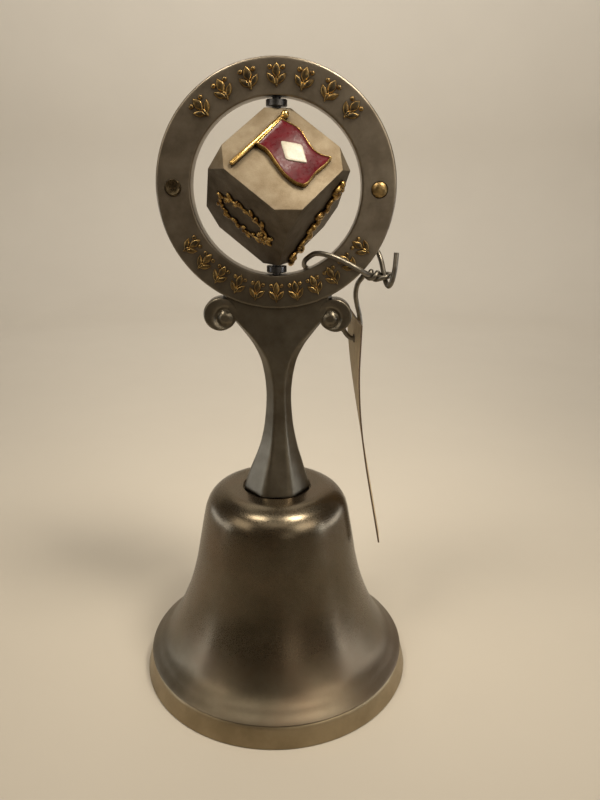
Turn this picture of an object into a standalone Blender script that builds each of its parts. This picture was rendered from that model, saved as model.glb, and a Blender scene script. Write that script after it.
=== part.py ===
"""Souvenir hand bell: a turned bell, a cast handle with a ring, and a cube that spins in the ring.

Units are metres, +Z is up, and the origin is the centre of the bell's mouth, on the surface
it stands on. The ring's flat front looks along -Y.
"""
import math

import bmesh
import bpy
from mathutils import Matrix, Vector

MM = 0.001
GAP = 0.3 * MM  # clearance between pieces that touch or turn in each other
MERGE = 0.00001

# Bell
MOUTH_RADIUS = 30.0 * MM
RIM_WIDTH = 2.0 * MM
CROWN_Z = 43.8 * MM
CROWN_UNDERSIDE_Z = 41.6 * MM
SEAT_RADIUS = 7.5 * MM
SEAT_DEPTH = 0.6 * MM
BELL_STEPS = 48

# Handle casting
FOOT_Z = CROWN_Z - SEAT_DEPTH + GAP
RING_Z = 106.0 * MM
RING_OUTER = 22.9 * MM
RING_INNER = 16.3 * MM
RING_MIDDLE = (RING_OUTER + RING_INNER) / 2
RING_HALF_THICKNESS = 2.2 * MM
RING_CHAMFER = 0.35 * MM
RING_STEPS = 64
VOLUTE_Z = 81.75 * MM
VOLUTE_RADIUS = 3.35 * MM
VOLUTE_HALF_THICKNESS = 2.0 * MM
VOLUTE_EYE_RADIUS = 1.45 * MM

# Bolt, clapper
BOLT_RADIUS = 1.6 * MM
BOLT_TOP_Z = 54.0 * MM
BOLT_EYE_Z = 34.8 * MM
EYE_RADIUS = 2.0 * MM
EYE_WIRE = 0.7 * MM
LINK_WIRE = 0.6 * MM
LINK_HALF_WIDTH = 1.9 * MM
LINK_PIVOT_Z = BOLT_EYE_Z - EYE_RADIUS
LINK_TOP_Z = LINK_PIVOT_Z + EYE_WIRE + GAP + LINK_WIRE
ROD_PIVOT_Z = 29.5 * MM
ROD_EYE_RADIUS = 2.1 * MM
ROD_WIRE = 0.6 * MM
ROD_RADIUS = 0.8 * MM
BALL_RADIUS = 4.5 * MM
BALL_Z = 7.5 * MM

# Cube and its axle
CUBE_SIDE = 18.87 * MM
CORNER_CUT = 3.6 * MM  # length cut off each edge at a corner
CUBE_TURN = math.radians(10.5)  # the front upper face looks this far towards +X
AXLE_RADIUS = 0.8 * MM
CUBE_TIP = (CUBE_SIDE * 1.5 - CORNER_CUT) / math.sqrt(3)  # centre to a cut corner
BUSH_RADIUS = 2.0 * MM
UPPER_BUSH_HEIGHT = 1.25 * MM
LOWER_BUSH_Z = RING_Z - RING_INNER + 0.45 * MM

# Reliefs on the cube's faces
RELIEF_THICKNESS = 0.8 * MM

# Tie wire and card tag
WIRE_RADIUS = 0.475 * MM
TAG_THICKNESS = 0.35 * MM
TAG_HOLE = Vector((16.5, 6.05, 75.5)) * MM
TAG_HOLE_RADIUS = 1.4 * MM

BRASS = (0.30, 0.24, 0.15)
PEWTER = (0.16, 0.14, 0.11)
STEEL = (0.34, 0.34, 0.35)
BLUED_STEEL = (0.06, 0.06, 0.09)
CUBE_METAL = (0.42, 0.36, 0.28)
GILT = (0.62, 0.42, 0.13)

for old in list(bpy.data.objects):
    bpy.data.objects.remove(old, do_unlink=True)

parts = bpy.data.collections.new("hand_bell")
cutters = bpy.data.collections.new("cutters")
for collection in (parts, cutters):
    bpy.context.scene.collection.children.link(collection)


# ---- tools -----------------------------------------------------------------------------------

def finish(name, colour, roughness, metallic):
    """A Principled material for one piece."""
    material = bpy.data.materials.new(name)
    material.use_nodes = True
    shader = material.node_tree.nodes["Principled BSDF"]
    shader.inputs["Base Color"].default_value = (*colour, 1.0)
    shader.inputs["Roughness"].default_value = roughness
    shader.inputs["Metallic"].default_value = metallic
    return material


def add(name, mesh, colour, roughness=0.4, metallic=1.0, parent=None, place=None):
    """Put a mesh in the parts collection as one named piece."""
    piece = bpy.data.objects.new(name, mesh)
    parts.objects.link(piece)
    mesh.materials.clear()
    mesh.materials.append(finish(name, colour, roughness, metallic))
    mesh.shade_smooth()
    mesh.set_sharp_from_angle(angle=math.radians(35))
    if parent is not None:
        piece.parent = parent
    if place is not None:
        piece.matrix_basis = place
    return piece


def guide(name, mesh, place=None):
    """A shape that only cuts or joins another, and is not a piece."""
    shape = bpy.data.objects.new(name, mesh)
    cutters.objects.link(shape)
    shape.hide_render = True
    shape.display_type = "WIRE"
    if place is not None:
        shape.matrix_basis = place
    return shape


def combine(piece, shape, operation):
    modifier = piece.modifiers.new(f"{operation.lower()} {shape.name}", "BOOLEAN")
    modifier.operation = operation
    modifier.solver = "EXACT"
    modifier.object = shape


def pivot(name, position):
    """An empty on a joint's axis, which carries the pieces that move."""
    empty = bpy.data.objects.new(name, None)
    parts.objects.link(empty)
    empty.location = position
    bpy.context.view_layer.update()
    return empty


def evaluated(shape):
    """The shape's evaluated mesh with its doubles merged; the shape itself is removed."""
    bpy.context.view_layer.update()
    graph = bpy.context.evaluated_depsgraph_get()
    mesh = bpy.data.meshes.new_from_object(shape.evaluated_get(graph), depsgraph=graph)
    bpy.data.objects.remove(shape, do_unlink=True)
    work = bmesh.new()
    work.from_mesh(mesh)
    bmesh.ops.remove_doubles(work, verts=work.verts, dist=MERGE)
    work.to_mesh(mesh)
    work.free()
    return mesh


def turned(profile, steps, closed=False):
    """Turn (radius, height) points round Z; the outer side runs from the top down."""
    count = len(profile)
    edges = [(i, i + 1) for i in range(count - 1)]
    if closed:
        edges.append((count - 1, 0))
    mesh = bpy.data.meshes.new("profile")
    mesh.from_pydata([(radius, 0.0, z) for radius, z in profile], edges, [])
    shape = bpy.data.objects.new("profile", mesh)
    bpy.context.scene.collection.objects.link(shape)
    screw = shape.modifiers.new("turn", "SCREW")
    screw.axis = "Z"
    screw.steps = screw.render_steps = steps
    screw.use_merge_vertices = True
    screw.merge_threshold = MERGE
    screw.use_normal_calculate = False
    return evaluated(shape)


def cylinder(radius, low, high, segments=32):
    """A round bar on Z between two heights."""
    work = bmesh.new()
    bmesh.ops.create_cone(work, cap_ends=True, segments=segments, radius1=radius, radius2=radius,
                          depth=high - low, matrix=Matrix.Translation((0, 0, (high + low) / 2)))
    mesh = bpy.data.meshes.new("cylinder")
    work.to_mesh(mesh)
    work.free()
    return mesh


def ring(major, minor, place, major_segments=28, minor_segments=12):
    """A round wire ring in its own XY plane, moved by place."""
    bpy.ops.mesh.primitive_torus_add(major_radius=major, minor_radius=minor,
                                     major_segments=major_segments, minor_segments=minor_segments)
    shape = bpy.context.object
    mesh = shape.data.copy()
    mesh.transform(place)
    bpy.data.objects.remove(shape, do_unlink=True)
    return mesh


def plate(outlines, low, high):
    """A flat piece between two heights; outlines after the first are holes in it."""
    curve = bpy.data.curves.new("outline", "CURVE")
    curve.dimensions = "2D"
    curve.fill_mode = "BOTH"
    curve.extrude = (high - low) / 2
    for outline in outlines:
        spline = curve.splines.new("POLY")
        spline.points.add(len(outline) - 1)
        for point, (x, y) in zip(spline.points, outline):
            point.co = (x, y, 0.0, 1.0)
        spline.use_cyclic_u = True
    shape = bpy.data.objects.new("outline", curve)
    bpy.context.scene.collection.objects.link(shape)
    mesh = evaluated(shape)
    mesh.transform(Matrix.Translation((0, 0, (low + high) / 2)))
    return mesh


def smooth_path(points, per_span):
    """Points on a Catmull-Rom curve through the given ones, ends included."""
    rail = [Vector(p) for p in points]
    rail = [2 * rail[0] - rail[1], *rail, 2 * rail[-1] - rail[-2]]
    path = []
    for a, b, c, d in zip(rail, rail[1:], rail[2:], rail[3:]):
        for step in range(per_span):
            t = step / per_span
            path.append(0.5 * (2 * b + (c - a) * t + (2 * a - 5 * b + 4 * c - d) * t * t
                               + (3 * b - a - 3 * c + d) * t ** 3))
    path.append(rail[-2])
    return path


def round_wire(path, radius, cyclic=False):
    """A round wire along a path, with filled ends."""
    curve = bpy.data.curves.new("wire", "CURVE")
    curve.dimensions = "3D"
    curve.bevel_depth = radius
    curve.bevel_resolution = 2
    curve.use_fill_caps = not cyclic
    spline = curve.splines.new("POLY")
    spline.points.add(len(path) - 1)
    for point, place in zip(spline.points, path):
        point.co = (*place, 1.0)
    spline.use_cyclic_u = cyclic
    shape = bpy.data.objects.new("wire", curve)
    bpy.context.scene.collection.objects.link(shape)
    return evaluated(shape)


# ---- bell ------------------------------------------------------------------------------------

# Outside and inside of the bell as (radius, height) in millimetres, without the rim and crown.
OUTSIDE = [(11.0, 43.75), (12.9, 43.0), (14.3, 41.8), (15.35, 40.0), (16.0, 37.5), (17.0, 32.0),
           (18.1, 26.0), (19.7, 20.0), (22.1, 14.0), (24.8, 9.0), (28.75, 4.95), (29.35, 3.0)]
INSIDE = [(26.0, 4.6), (23.0, 8.9), (20.3, 13.6), (17.9, 19.6), (16.3, 25.6), (15.2, 31.6),
          (14.2, 37.0), (12.8, 39.9), (10.0, 41.5)]


def bell_profile():
    """The bell's closed section: crown, outer side down, rim, inner side up, bolt hole."""
    hole = BOLT_RADIUS + GAP
    crown = [(hole, CROWN_Z - SEAT_DEPTH), (SEAT_RADIUS, CROWN_Z - SEAT_DEPTH),
             (SEAT_RADIUS, CROWN_Z)]
    outside = [(r * MM, z * MM) for r, z in OUTSIDE]
    inside = [(r * MM, z * MM) for r, z in INSIDE]
    rim = [(MOUTH_RADIUS, 0.0), (MOUTH_RADIUS - RIM_WIDTH, 0.0)]
    return crown + outside + rim + inside + [(hole, CROWN_UNDERSIDE_Z)]


add("bell_body", turned(bell_profile(), BELL_STEPS, closed=True), BRASS, 0.38)


# ---- handle casting --------------------------------------------------------------------------

# Half width of the hexagonal stem across its corners, and half its depth, at each height.
STEM = [(43.5, 7.20, 6.20), (46.0, 6.45, 5.55), (49.1, 5.42, 4.70), (52.4, 4.28, 3.70),
        (55.6, 3.50, 3.03), (59.0, 3.00, 2.60), (63.5, 2.68, 2.32), (67.0, 2.80, 2.30),
        (70.0, 3.20, 2.20), (72.7, 3.88, 2.10), (75.6, 5.34, 1.95), (78.0, 7.10, 1.75),
        (80.2, 8.80, 1.62), (83.0, 10.6, 1.55), (86.0, 10.9, 1.50), (87.5, 9.40, 1.45)]


def stem_mesh():
    """The six-sided stem, lofted through sections that widen to a flat flare under the ring."""
    stations = smooth_path([Vector((w, d, z)) * MM for z, w, d in STEM], 2)
    stations[0].z = FOOT_Z
    work = bmesh.new()
    rows = []
    for half_width, half_depth, z in stations:
        corners = [(half_width * math.cos(turn * math.pi / 3),
                    half_depth * math.sin(turn * math.pi / 3) / math.sin(math.pi / 3), z)
                   for turn in range(6)]
        rows.append([work.verts.new(corner) for corner in corners])
    for low, high in zip(rows, rows[1:]):
        for k in range(6):
            work.faces.new((low[k], low[(k + 1) % 6], high[(k + 1) % 6], high[k]))
    work.faces.new(list(reversed(rows[0])))
    work.faces.new(rows[-1])
    mesh = bpy.data.meshes.new("stem")
    work.to_mesh(mesh)
    work.free()
    return mesh


def ring_mesh():
    """The flat ring with chamfered edges, stood up to face -Y."""
    half, cut = RING_HALF_THICKNESS, RING_CHAMFER
    profile = [(RING_OUTER - cut, half), (RING_OUTER, half - cut), (RING_OUTER, cut - half),
               (RING_OUTER - cut, -half), (RING_INNER + cut, -half), (RING_INNER, cut - half),
               (RING_INNER, half - cut), (RING_INNER + cut, half)]
    mesh = turned(profile, RING_STEPS, closed=True)
    mesh.transform(Matrix.Translation((0, 0, RING_Z)) @ Matrix.Rotation(math.pi / 2, 4, "X"))
    return mesh


def across(x, z):
    """A place whose own Z axis points to the front, at x and z."""
    return Matrix.Translation((x, 0, z)) @ Matrix.Rotation(math.pi / 2, 4, "X")


handle = add("handle", ring_mesh(), PEWTER, 0.42)
combine(handle, guide("stem", stem_mesh()), "UNION")
for middle, hand in ((-11.35 * MM, "left"), (11.85 * MM, "right")):
    volute = cylinder(VOLUTE_RADIUS, -VOLUTE_HALF_THICKNESS, VOLUTE_HALF_THICKNESS, 36)
    combine(handle, guide(f"volute_{hand}", volute, across(middle, VOLUTE_Z)), "UNION")
    eye_reach = VOLUTE_HALF_THICKNESS + 0.35 * MM
    eye = cylinder(VOLUTE_EYE_RADIUS, -eye_reach, eye_reach, 24)
    eye_place = across(middle - math.copysign(1.05 * MM, middle), VOLUTE_Z - 0.7 * MM)
    combine(handle, guide(f"volute_eye_{hand}", eye, eye_place), "UNION")

bore = cylinder(BOLT_RADIUS + GAP, FOOT_Z - 2 * MM, BOLT_TOP_Z + GAP)
combine(handle, guide("bolt_bore", bore), "DIFFERENCE")
AXLE_TOP = RING_Z + RING_OUTER - 0.25 * MM
AXLE_BOTTOM = RING_Z - RING_INNER - 3.6 * MM
axle_bore = cylinder(AXLE_RADIUS + GAP, AXLE_BOTTOM - GAP, RING_Z + RING_OUTER + 2 * MM, 24)
combine(handle, guide("axle_bore", axle_bore), "DIFFERENCE")

# ---- rivets on the ring ----------------------------------------------------------------------

RIVET_HEAD = 1.58 * MM
RIVET_SHANK = 0.7 * MM
HEAD_UNDERSIDE = 1.95 * MM
SEAT_FLOOR = HEAD_UNDERSIDE - GAP
dome = [(0.0, 2.75), (0.65, 2.68), (1.2, 2.45), (1.58, 2.15)]
rivet_top = [(r * MM, y * MM) for r, y in dome] + [(RIVET_HEAD, HEAD_UNDERSIDE),
                                                   (RIVET_SHANK, HEAD_UNDERSIDE)]
rivet_profile = rivet_top + [(r, -y) for r, y in reversed(rivet_top)]
for side, hand in ((-1, "left"), (1, "right")):
    place = across(side * RING_MIDDLE, RING_Z)
    add(f"ring_rivet_{hand}", turned(rivet_profile, 24), GILT, 0.35, place=place)
    combine(handle, guide(f"rivet_bore_{hand}", cylinder(RIVET_SHANK + GAP, -5 * MM, 5 * MM, 20),
                          place), "DIFFERENCE")
    for face in (-1, 1):
        low, high = sorted((face * SEAT_FLOOR, face * 5 * MM))
        seat = cylinder(RIVET_HEAD + GAP, low, high, 24)
        seat_name = f"rivet_seat_{hand}_{'front' if face > 0 else 'back'}"
        combine(handle, guide(seat_name, seat, place), "DIFFERENCE")

# ---- bolt, washer and nut that hold bell and handle together -----------------------------------

WASHER_RADIUS = 5.0 * MM
WASHER_THICKNESS = 0.8 * MM
NUT_CORNER_RADIUS = 4.04 * MM
NUT_HEIGHT = 2.2 * MM
washer_top = CROWN_UNDERSIDE_Z - GAP
nut_top = washer_top - WASHER_THICKNESS - GAP


def drilled(name, mesh, radius, colour, roughness):
    """A piece on the bell's axis with a clearance hole for the bolt."""
    piece = add(name, mesh, colour, roughness)
    hole = guide(f"{name}_hole", cylinder(radius, 20 * MM, 60 * MM, 24))
    combine(piece, hole, "DIFFERENCE")


drilled("crown_washer", cylinder(WASHER_RADIUS, washer_top - WASHER_THICKNESS, washer_top),
        BOLT_RADIUS + GAP, STEEL, 0.35)
drilled("clamp_nut", cylinder(NUT_CORNER_RADIUS, nut_top - NUT_HEIGHT, nut_top, 6),
        BOLT_RADIUS + GAP, STEEL, 0.35)

shank_low = BOLT_EYE_Z + EYE_RADIUS - 0.4 * MM
eye_bolt = add("eye_bolt", cylinder(BOLT_RADIUS, shank_low, BOLT_TOP_Z, 24), STEEL, 0.35)
bolt_eye = ring(EYE_RADIUS, EYE_WIRE,
                Matrix.Translation((0, 0, BOLT_EYE_Z)) @ Matrix.Rotation(math.pi / 2, 4, "X"), 24, 10)
combine(eye_bolt, guide("bolt_eye", bolt_eye), "UNION")

# ---- clapper: a link on the bolt's eye, and a rod with a ball on the link -----------------------

link_pivot = pivot("link_pivot", (0, 0, LINK_PIVOT_Z))
clapper_pivot = pivot("clapper_pivot", (0, 0, ROD_PIVOT_Z))


def link_path():
    """An oval loop across the bell, hooked through the bolt's eye."""
    high = LINK_TOP_Z - LINK_HALF_WIDTH - LINK_PIVOT_Z
    low = ROD_PIVOT_Z + LINK_HALF_WIDTH - LINK_PIVOT_Z
    steps = 8
    path = []
    for centre, start in ((high, 0.0), (low, math.pi)):
        for step in range(steps + 1):
            turn = start + math.pi * step / steps
            path.append((0.0, LINK_HALF_WIDTH * math.cos(turn),
                         centre + LINK_HALF_WIDTH * math.sin(turn)))
    return path


add("clapper_link", round_wire(link_path(), LINK_WIRE, cyclic=True), STEEL, 0.3,
    parent=link_pivot)

rod_eye_z = LINK_WIRE + GAP + ROD_WIRE - ROD_EYE_RADIUS
ball_z = BALL_Z - ROD_PIVOT_Z
rod_bottom = ball_z + 0.8 * MM
rod_high = rod_eye_z - ROD_EYE_RADIUS + 0.3 * MM
clapper_rod = add("clapper_rod", cylinder(ROD_RADIUS, rod_bottom, rod_high, 16), STEEL, 0.3,
                  parent=clapper_pivot)
rod_eye = ring(ROD_EYE_RADIUS, ROD_WIRE,
               Matrix.Translation((0, 0, ROD_PIVOT_Z + rod_eye_z))
               @ Matrix.Rotation(math.pi / 2, 4, "X"), 28, 10)
combine(clapper_rod, guide("rod_eye", rod_eye), "UNION")

work = bmesh.new()
bmesh.ops.create_uvsphere(work, u_segments=24, v_segments=14, radius=BALL_RADIUS)
ball_mesh = bpy.data.meshes.new("clapper_ball")
work.to_mesh(ball_mesh)
work.free()
clapper_ball = add("clapper_ball", ball_mesh, STEEL, 0.25, parent=clapper_pivot,
                   place=Matrix.Translation((0, 0, ball_z)))
ball_bore = cylinder(ROD_RADIUS + GAP, ROD_PIVOT_Z + rod_bottom - GAP, ROD_PIVOT_Z, 20)
combine(clapper_ball, guide("ball_bore", ball_bore), "DIFFERENCE")

# ---- axle, bushes and spinning cube ------------------------------------------------------------

add("cube_axle", cylinder(AXLE_RADIUS, AXLE_BOTTOM, AXLE_TOP, 24), STEEL, 0.3)


def bush(name, low, high):
    piece = add(name, cylinder(BUSH_RADIUS, low, high, 28), BLUED_STEEL, 0.35)
    combine(piece, guide(f"{name}_bore", cylinder(AXLE_RADIUS + GAP, low - MM, high + MM, 24)),
            "DIFFERENCE")


upper_bush_z = RING_Z + CUBE_TIP + GAP
bush("upper_bush", upper_bush_z, upper_bush_z + UPPER_BUSH_HEIGHT)
bush("lower_bush", LOWER_BUSH_Z, RING_Z - CUBE_TIP - GAP)

spin_axis = pivot("spin_axis", (0, 0, RING_Z))


def face_place(azimuth_deg, upper):
    """The place of one cube face: own X along one edge, own Y along the next, Z outwards."""
    azimuth = math.radians(azimuth_deg) + CUBE_TURN
    rise = 1 if upper else -1
    flat = math.sqrt(2 / 3)
    outward = Vector((flat * math.cos(azimuth), flat * math.sin(azimuth), rise / math.sqrt(3)))
    up = (Vector((0, 0, 1)) - outward * outward.z).normalized()
    right = up.cross(outward)
    along = (right - up).normalized()
    over = (right + up).normalized()
    place = Matrix((along, over, outward)).transposed().to_4x4()
    place.translation = outward * (CUBE_SIDE / 2)
    return place


work = bmesh.new()
bmesh.ops.create_cube(work, size=CUBE_SIDE)
cube_mesh = bpy.data.meshes.new("spinner_cube")
work.to_mesh(cube_mesh)
work.free()
cube_stand = face_place(-90, True)
cube_stand.translation = (0, 0, 0)
spinner_cube = add("spinner_cube", cube_mesh, CUBE_METAL, 0.5, parent=spin_axis, place=cube_stand)
corner_cut = spinner_cube.modifiers.new("cut corners", "BEVEL")
corner_cut.affect = "VERTICES"
corner_cut.offset_type = "OFFSET"
corner_cut.width = CORNER_CUT
corner_cut.segments = 1
cube_bore = cylinder(AXLE_RADIUS + GAP, RING_Z - CUBE_SIDE, RING_Z + CUBE_SIDE, 24)
combine(spinner_cube, guide("cube_bore", cube_bore), "DIFFERENCE")


# ---- reliefs on the six faces ------------------------------------------------------------------

def relief(name, outlines, place, colour=GILT, low=GAP, high=GAP + RELIEF_THICKNESS,
           roughness=0.35, metallic=1.0):
    return add(name, plate(outlines, low, high), colour, roughness, metallic,
               parent=spin_axis, place=place)


def oval(half_x, half_y, centre, steps=40, lobes=0, depth=0.0):
    """An ellipse, or a lobed one, as (x, y) points in millimetres made metres."""
    points = []
    for step in range(steps):
        turn = 2 * math.pi * step / steps
        swell = 1 + depth * math.cos(lobes * turn)
        points.append(((centre[0] + half_x * swell * math.cos(turn)) * MM,
                       (centre[1] + half_y * swell * math.sin(turn)) * MM))
    return points


# The waving flag, in millimetres on the front upper face: X runs along the fly, Y up the pole.
FLAG_HOIST = -5.0
FLAG_FLY = 6.7
FLAG_LOW = -2.3
FLAG_HIGH = 5.6
FLAG_WAVE = 0.6
POLE_LOW = -8.0
POLE_HIGH = 6.6
POLE_HALF_WIDTH = 0.5


def flag_outline(margin):
    """The flag's wavy outline, drawn in by a margin, as (x, y) in metres."""
    steps = 14
    left, right = FLAG_HOIST + margin, FLAG_FLY - margin
    run = [left + (right - left) * step / steps for step in range(steps + 1)]

    def wave(x):
        return FLAG_WAVE * math.sin(2 * math.pi * (x - FLAG_HOIST) / (FLAG_FLY - FLAG_HOIST))

    bottom = [(x * MM, (FLAG_LOW + margin + wave(x)) * MM) for x in run]
    top = [(x * MM, (FLAG_HIGH - margin + wave(x)) * MM) for x in reversed(run)]
    return bottom + top


flag_place = face_place(-90, True)
FLAG_RIM = 0.45
POCKET_DEPTH = 0.55 * MM
flag_frame = relief("flag_frame", [flag_outline(0.0)], flag_place)
pole = plate([[(x * MM, y * MM) for x, y in (
    (FLAG_HOIST - 2 * POLE_HALF_WIDTH, POLE_LOW), (FLAG_HOIST + 0.1, POLE_LOW),
    (FLAG_HOIST + 0.1, POLE_HIGH), (FLAG_HOIST - 2 * POLE_HALF_WIDTH, POLE_HIGH))]],
    GAP, GAP + 1.1 * MM)
flag_world = Matrix.Translation((0, 0, RING_Z)) @ flag_place
combine(flag_frame, guide("flag_pole", pole, flag_world), "UNION")
pocket_floor = GAP + RELIEF_THICKNESS - POCKET_DEPTH
pocket = plate([flag_outline(FLAG_RIM)], pocket_floor, 3 * MM)
combine(flag_frame, guide("flag_pocket", pocket, flag_world), "DIFFERENCE")

LOZENGE_CENTRE = (1.0, 1.7)
LOZENGE_HALF = (3.2, 2.3)


def lozenge(grow):
    x, y = LOZENGE_CENTRE
    half_x, half_y = LOZENGE_HALF[0] + grow, LOZENGE_HALF[1] + grow
    return [((x + a * half_x) * MM, (y + b * half_y) * MM)
            for a, b in ((1, 0), (0, 1), (-1, 0), (0, -1))]


enamel_low = pocket_floor + GAP
enamel_high = enamel_low + 0.25 * MM
relief("flag_enamel", [flag_outline(FLAG_RIM + GAP / MM), lozenge(0.5)], flag_place,
       (0.25, 0.02, 0.03), enamel_low, enamel_high, 0.2, 0.0)
relief("flag_lozenge", [lozenge(0.0)], flag_place, (0.75, 0.72, 0.62), enamel_low,
       enamel_high + 0.1 * MM, 0.3, 0.0)

wreath_place = face_place(-150, False)
wreath = relief("relief_wreath", [oval(6.9, 4.0, (-0.3, 0.3)), oval(5.3, 2.6, (-0.3, 0.3))],
                wreath_place)
rosette = plate([oval(1.9, 1.9, (5.0, -0.7), 30, 5, 0.1)], GAP, GAP + 1.1 * MM)
combine(wreath, guide("wreath_rosette", rosette,
                      Matrix.Translation((0, 0, RING_Z)) @ wreath_place), "UNION")


def leaf(start, end, half_width, steps=12):
    """A lens-shaped outline from start to end, in millimetres made metres."""
    a, b = Vector(start), Vector(end)
    side = Vector((a.y - b.y, b.x - a.x)).normalized()
    line = [(a.lerp(b, step / steps), half_width * math.sin(math.pi * step / steps))
            for step in range(steps + 1)]
    right = [point - side * half for point, half in line[:-1]]
    left = [point + side * half for point, half in reversed(line)][:-1]
    return [(point.x * MM, point.y * MM) for point in right + left]


relief("relief_sprig", [leaf((-4.0, 6.6), (7.0, -5.6), 1.9)], face_place(-30, False))
relief("relief_flower", [oval(5.2, 5.2, (0.0, 0.0), 64, 8, 0.16)], face_place(30, True))


def fir_tree():
    """A fir tree of three tiers on a short trunk."""
    half = [(0.9, -6.4), (0.9, -4.4), (4.6, -4.4), (2.3, -1.2), (3.6, -1.2), (1.7, 2.0),
            (2.6, 2.0)]
    outline = half + [(0.0, 6.6)] + [(-x, y) for x, y in reversed(half)]
    return [(x * MM, y * MM) for x, y in outline]


relief("relief_fir", [fir_tree()], face_place(150, True))


def small_bell():
    """The outline of a hand bell."""
    half = [(1.2, -5.6), (1.5, -4.6), (4.8, -4.4), (4.2, -2.8), (2.9, -0.6), (2.4, 2.0),
            (1.6, 3.4), (0.7, 3.8), (0.7, 6.0)]
    outline = half + [(-x, y) for x, y in reversed(half)]
    return [(x * MM, y * MM) for x, y in outline]


relief("relief_bell", [small_bell()], face_place(90, False))

# ---- tie wire ----------------------------------------------------------------------------------

# The wire's route in millimetres: from its cut end down into a hook, up and behind the ring's
# band, through the ring, and back across the front to the twist.
ROUTE_TO_TWIST = [
    (23.5, -1.6, 94.3), (23.3, -2.0, 91.4), (22.9, -1.9, 89.0), (22.4, -1.0, 87.7),
    (21.9, 0.2, 88.3), (21.4, 1.0, 90.4), (20.8, 1.9, 92.8), (19.9, 3.2, 94.3),
    (17.6, 3.6, 94.0), (13.6, 3.5, 92.4), (9.6, 3.4, 90.9), (6.7, 3.4, 90.4), (5.6, 3.0, 91.0),
    (5.5, 1.5, 92.0), (6.1, -0.6, 93.0), (7.7, -2.6, 94.1), (10.3, -3.3, 93.8),
    (13.3, -3.4, 92.6), (16.4, -3.3, 91.0)]
# Off the twist, down to the tag, through its hole and up behind the volute to the other end.
ROUTE_TO_TAG = [
    (17.1, 0.9, 89.0), (16.4, 2.2, 87.6), (16.2, 3.6, 85.4), (16.6, 4.9, 83.2),
    (17.25, 5.6, 80.8), (17.6, 5.95, 78.3), (17.4, 6.05, 76.3), (16.5, 6.05, 75.5),
    (15.2, 5.9, 75.9), (13.9, 5.4, 77.6), (12.7, 4.7, 79.6), (11.9, 4.3, 82.0)]
# The two strands twist round this line, and the loop at its far end goes round the hook.
TWIST_START = Vector((18.0, -0.7, 90.0))
TWIST_END = Vector((20.0, 0.2, 89.5))
TWIST_RADIUS = 0.68
TWIST_TURNS = 0.75
LOOP_ROUND_HOOK = [(21.0, -0.9, 89.3), (22.4, -0.5, 89.6), (22.9, 0.9, 89.7), (22.2, 2.0, 89.7),
                   (21.0, 1.9, 89.5)]


def strand(phase, steps=6):
    """One strand of the twist, from its start to its end, in millimetres."""
    axis = (TWIST_END - TWIST_START).normalized()
    side = axis.cross(Vector((0, 0, 1))).normalized()
    over = side.cross(axis)
    path = []
    for step in range(steps + 1):
        turn = phase + 2 * math.pi * TWIST_TURNS * step / steps
        path.append(TWIST_START.lerp(TWIST_END, step / steps)
                    + TWIST_RADIUS * (side * math.cos(turn) + over * math.sin(turn)))
    return path


wire_route = [*ROUTE_TO_TWIST, *strand(0.0), *LOOP_ROUND_HOOK, *reversed(strand(math.pi)),
              *ROUTE_TO_TAG]
wire_path = [point * MM for point in smooth_path(wire_route, 2)]
add("tie_wire", round_wire(wire_path, WIRE_RADIUS), STEEL, 0.3)

# ---- card tag ----------------------------------------------------------------------------------

# The two long edges of the card, in millimetres: it hangs nearly edge on, a little twisted.
TAG_NEAR_EDGE = [(17.5, 1.0, 79.2), (17.45, 1.0, 66.0), (19.0, 1.0, 51.5), (23.2, 1.0, 29.0)]
TAG_FAR_EDGE = [(15.0, 11.8, 81.8), (16.4, 11.8, 68.5), (19.6, 11.8, 50.5), (24.4, 11.8, 25.6)]
TAG_AXIS = Vector((0.984, 0.165, 0.060)).normalized()

tag_pivot = pivot("tag_pivot", TAG_HOLE)


def tag_mesh():
    """The card as a sheet between its two edges, before it has its thickness."""
    near = smooth_path(TAG_NEAR_EDGE, 4)
    far = smooth_path(TAG_FAR_EDGE, 4)
    work = bmesh.new()
    rows = [[work.verts.new(a.lerp(b, k / 4) * MM - TAG_HOLE) for k in range(5)]
            for a, b in zip(near, far)]
    for high, low in zip(rows, rows[1:]):
        for k in range(4):
            work.faces.new((high[k], low[k], low[k + 1], high[k + 1]))
    mesh = bpy.data.meshes.new("tag")
    work.to_mesh(mesh)
    work.free()
    return mesh


paper_tag = add("paper_tag", tag_mesh(), (0.55, 0.42, 0.24), 0.8, 0.0, parent=tag_pivot)
card = paper_tag.modifiers.new("card", "SOLIDIFY")
card.thickness = TAG_THICKNESS
card.offset = 0.0
tag_punch = cylinder(TAG_HOLE_RADIUS, -2 * MM, 2 * MM, 20)
punch_place = Matrix.Translation(TAG_HOLE) @ TAG_AXIS.to_track_quat("Z", "Y").to_matrix().to_4x4()
combine(paper_tag, guide("tag_punch", tag_punch, punch_place), "DIFFERENCE")
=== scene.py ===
"""The looks of a souvenir hand bell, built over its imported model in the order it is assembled."""
import math

import bmesh
import bpy
from mathutils import Matrix, Vector


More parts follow.
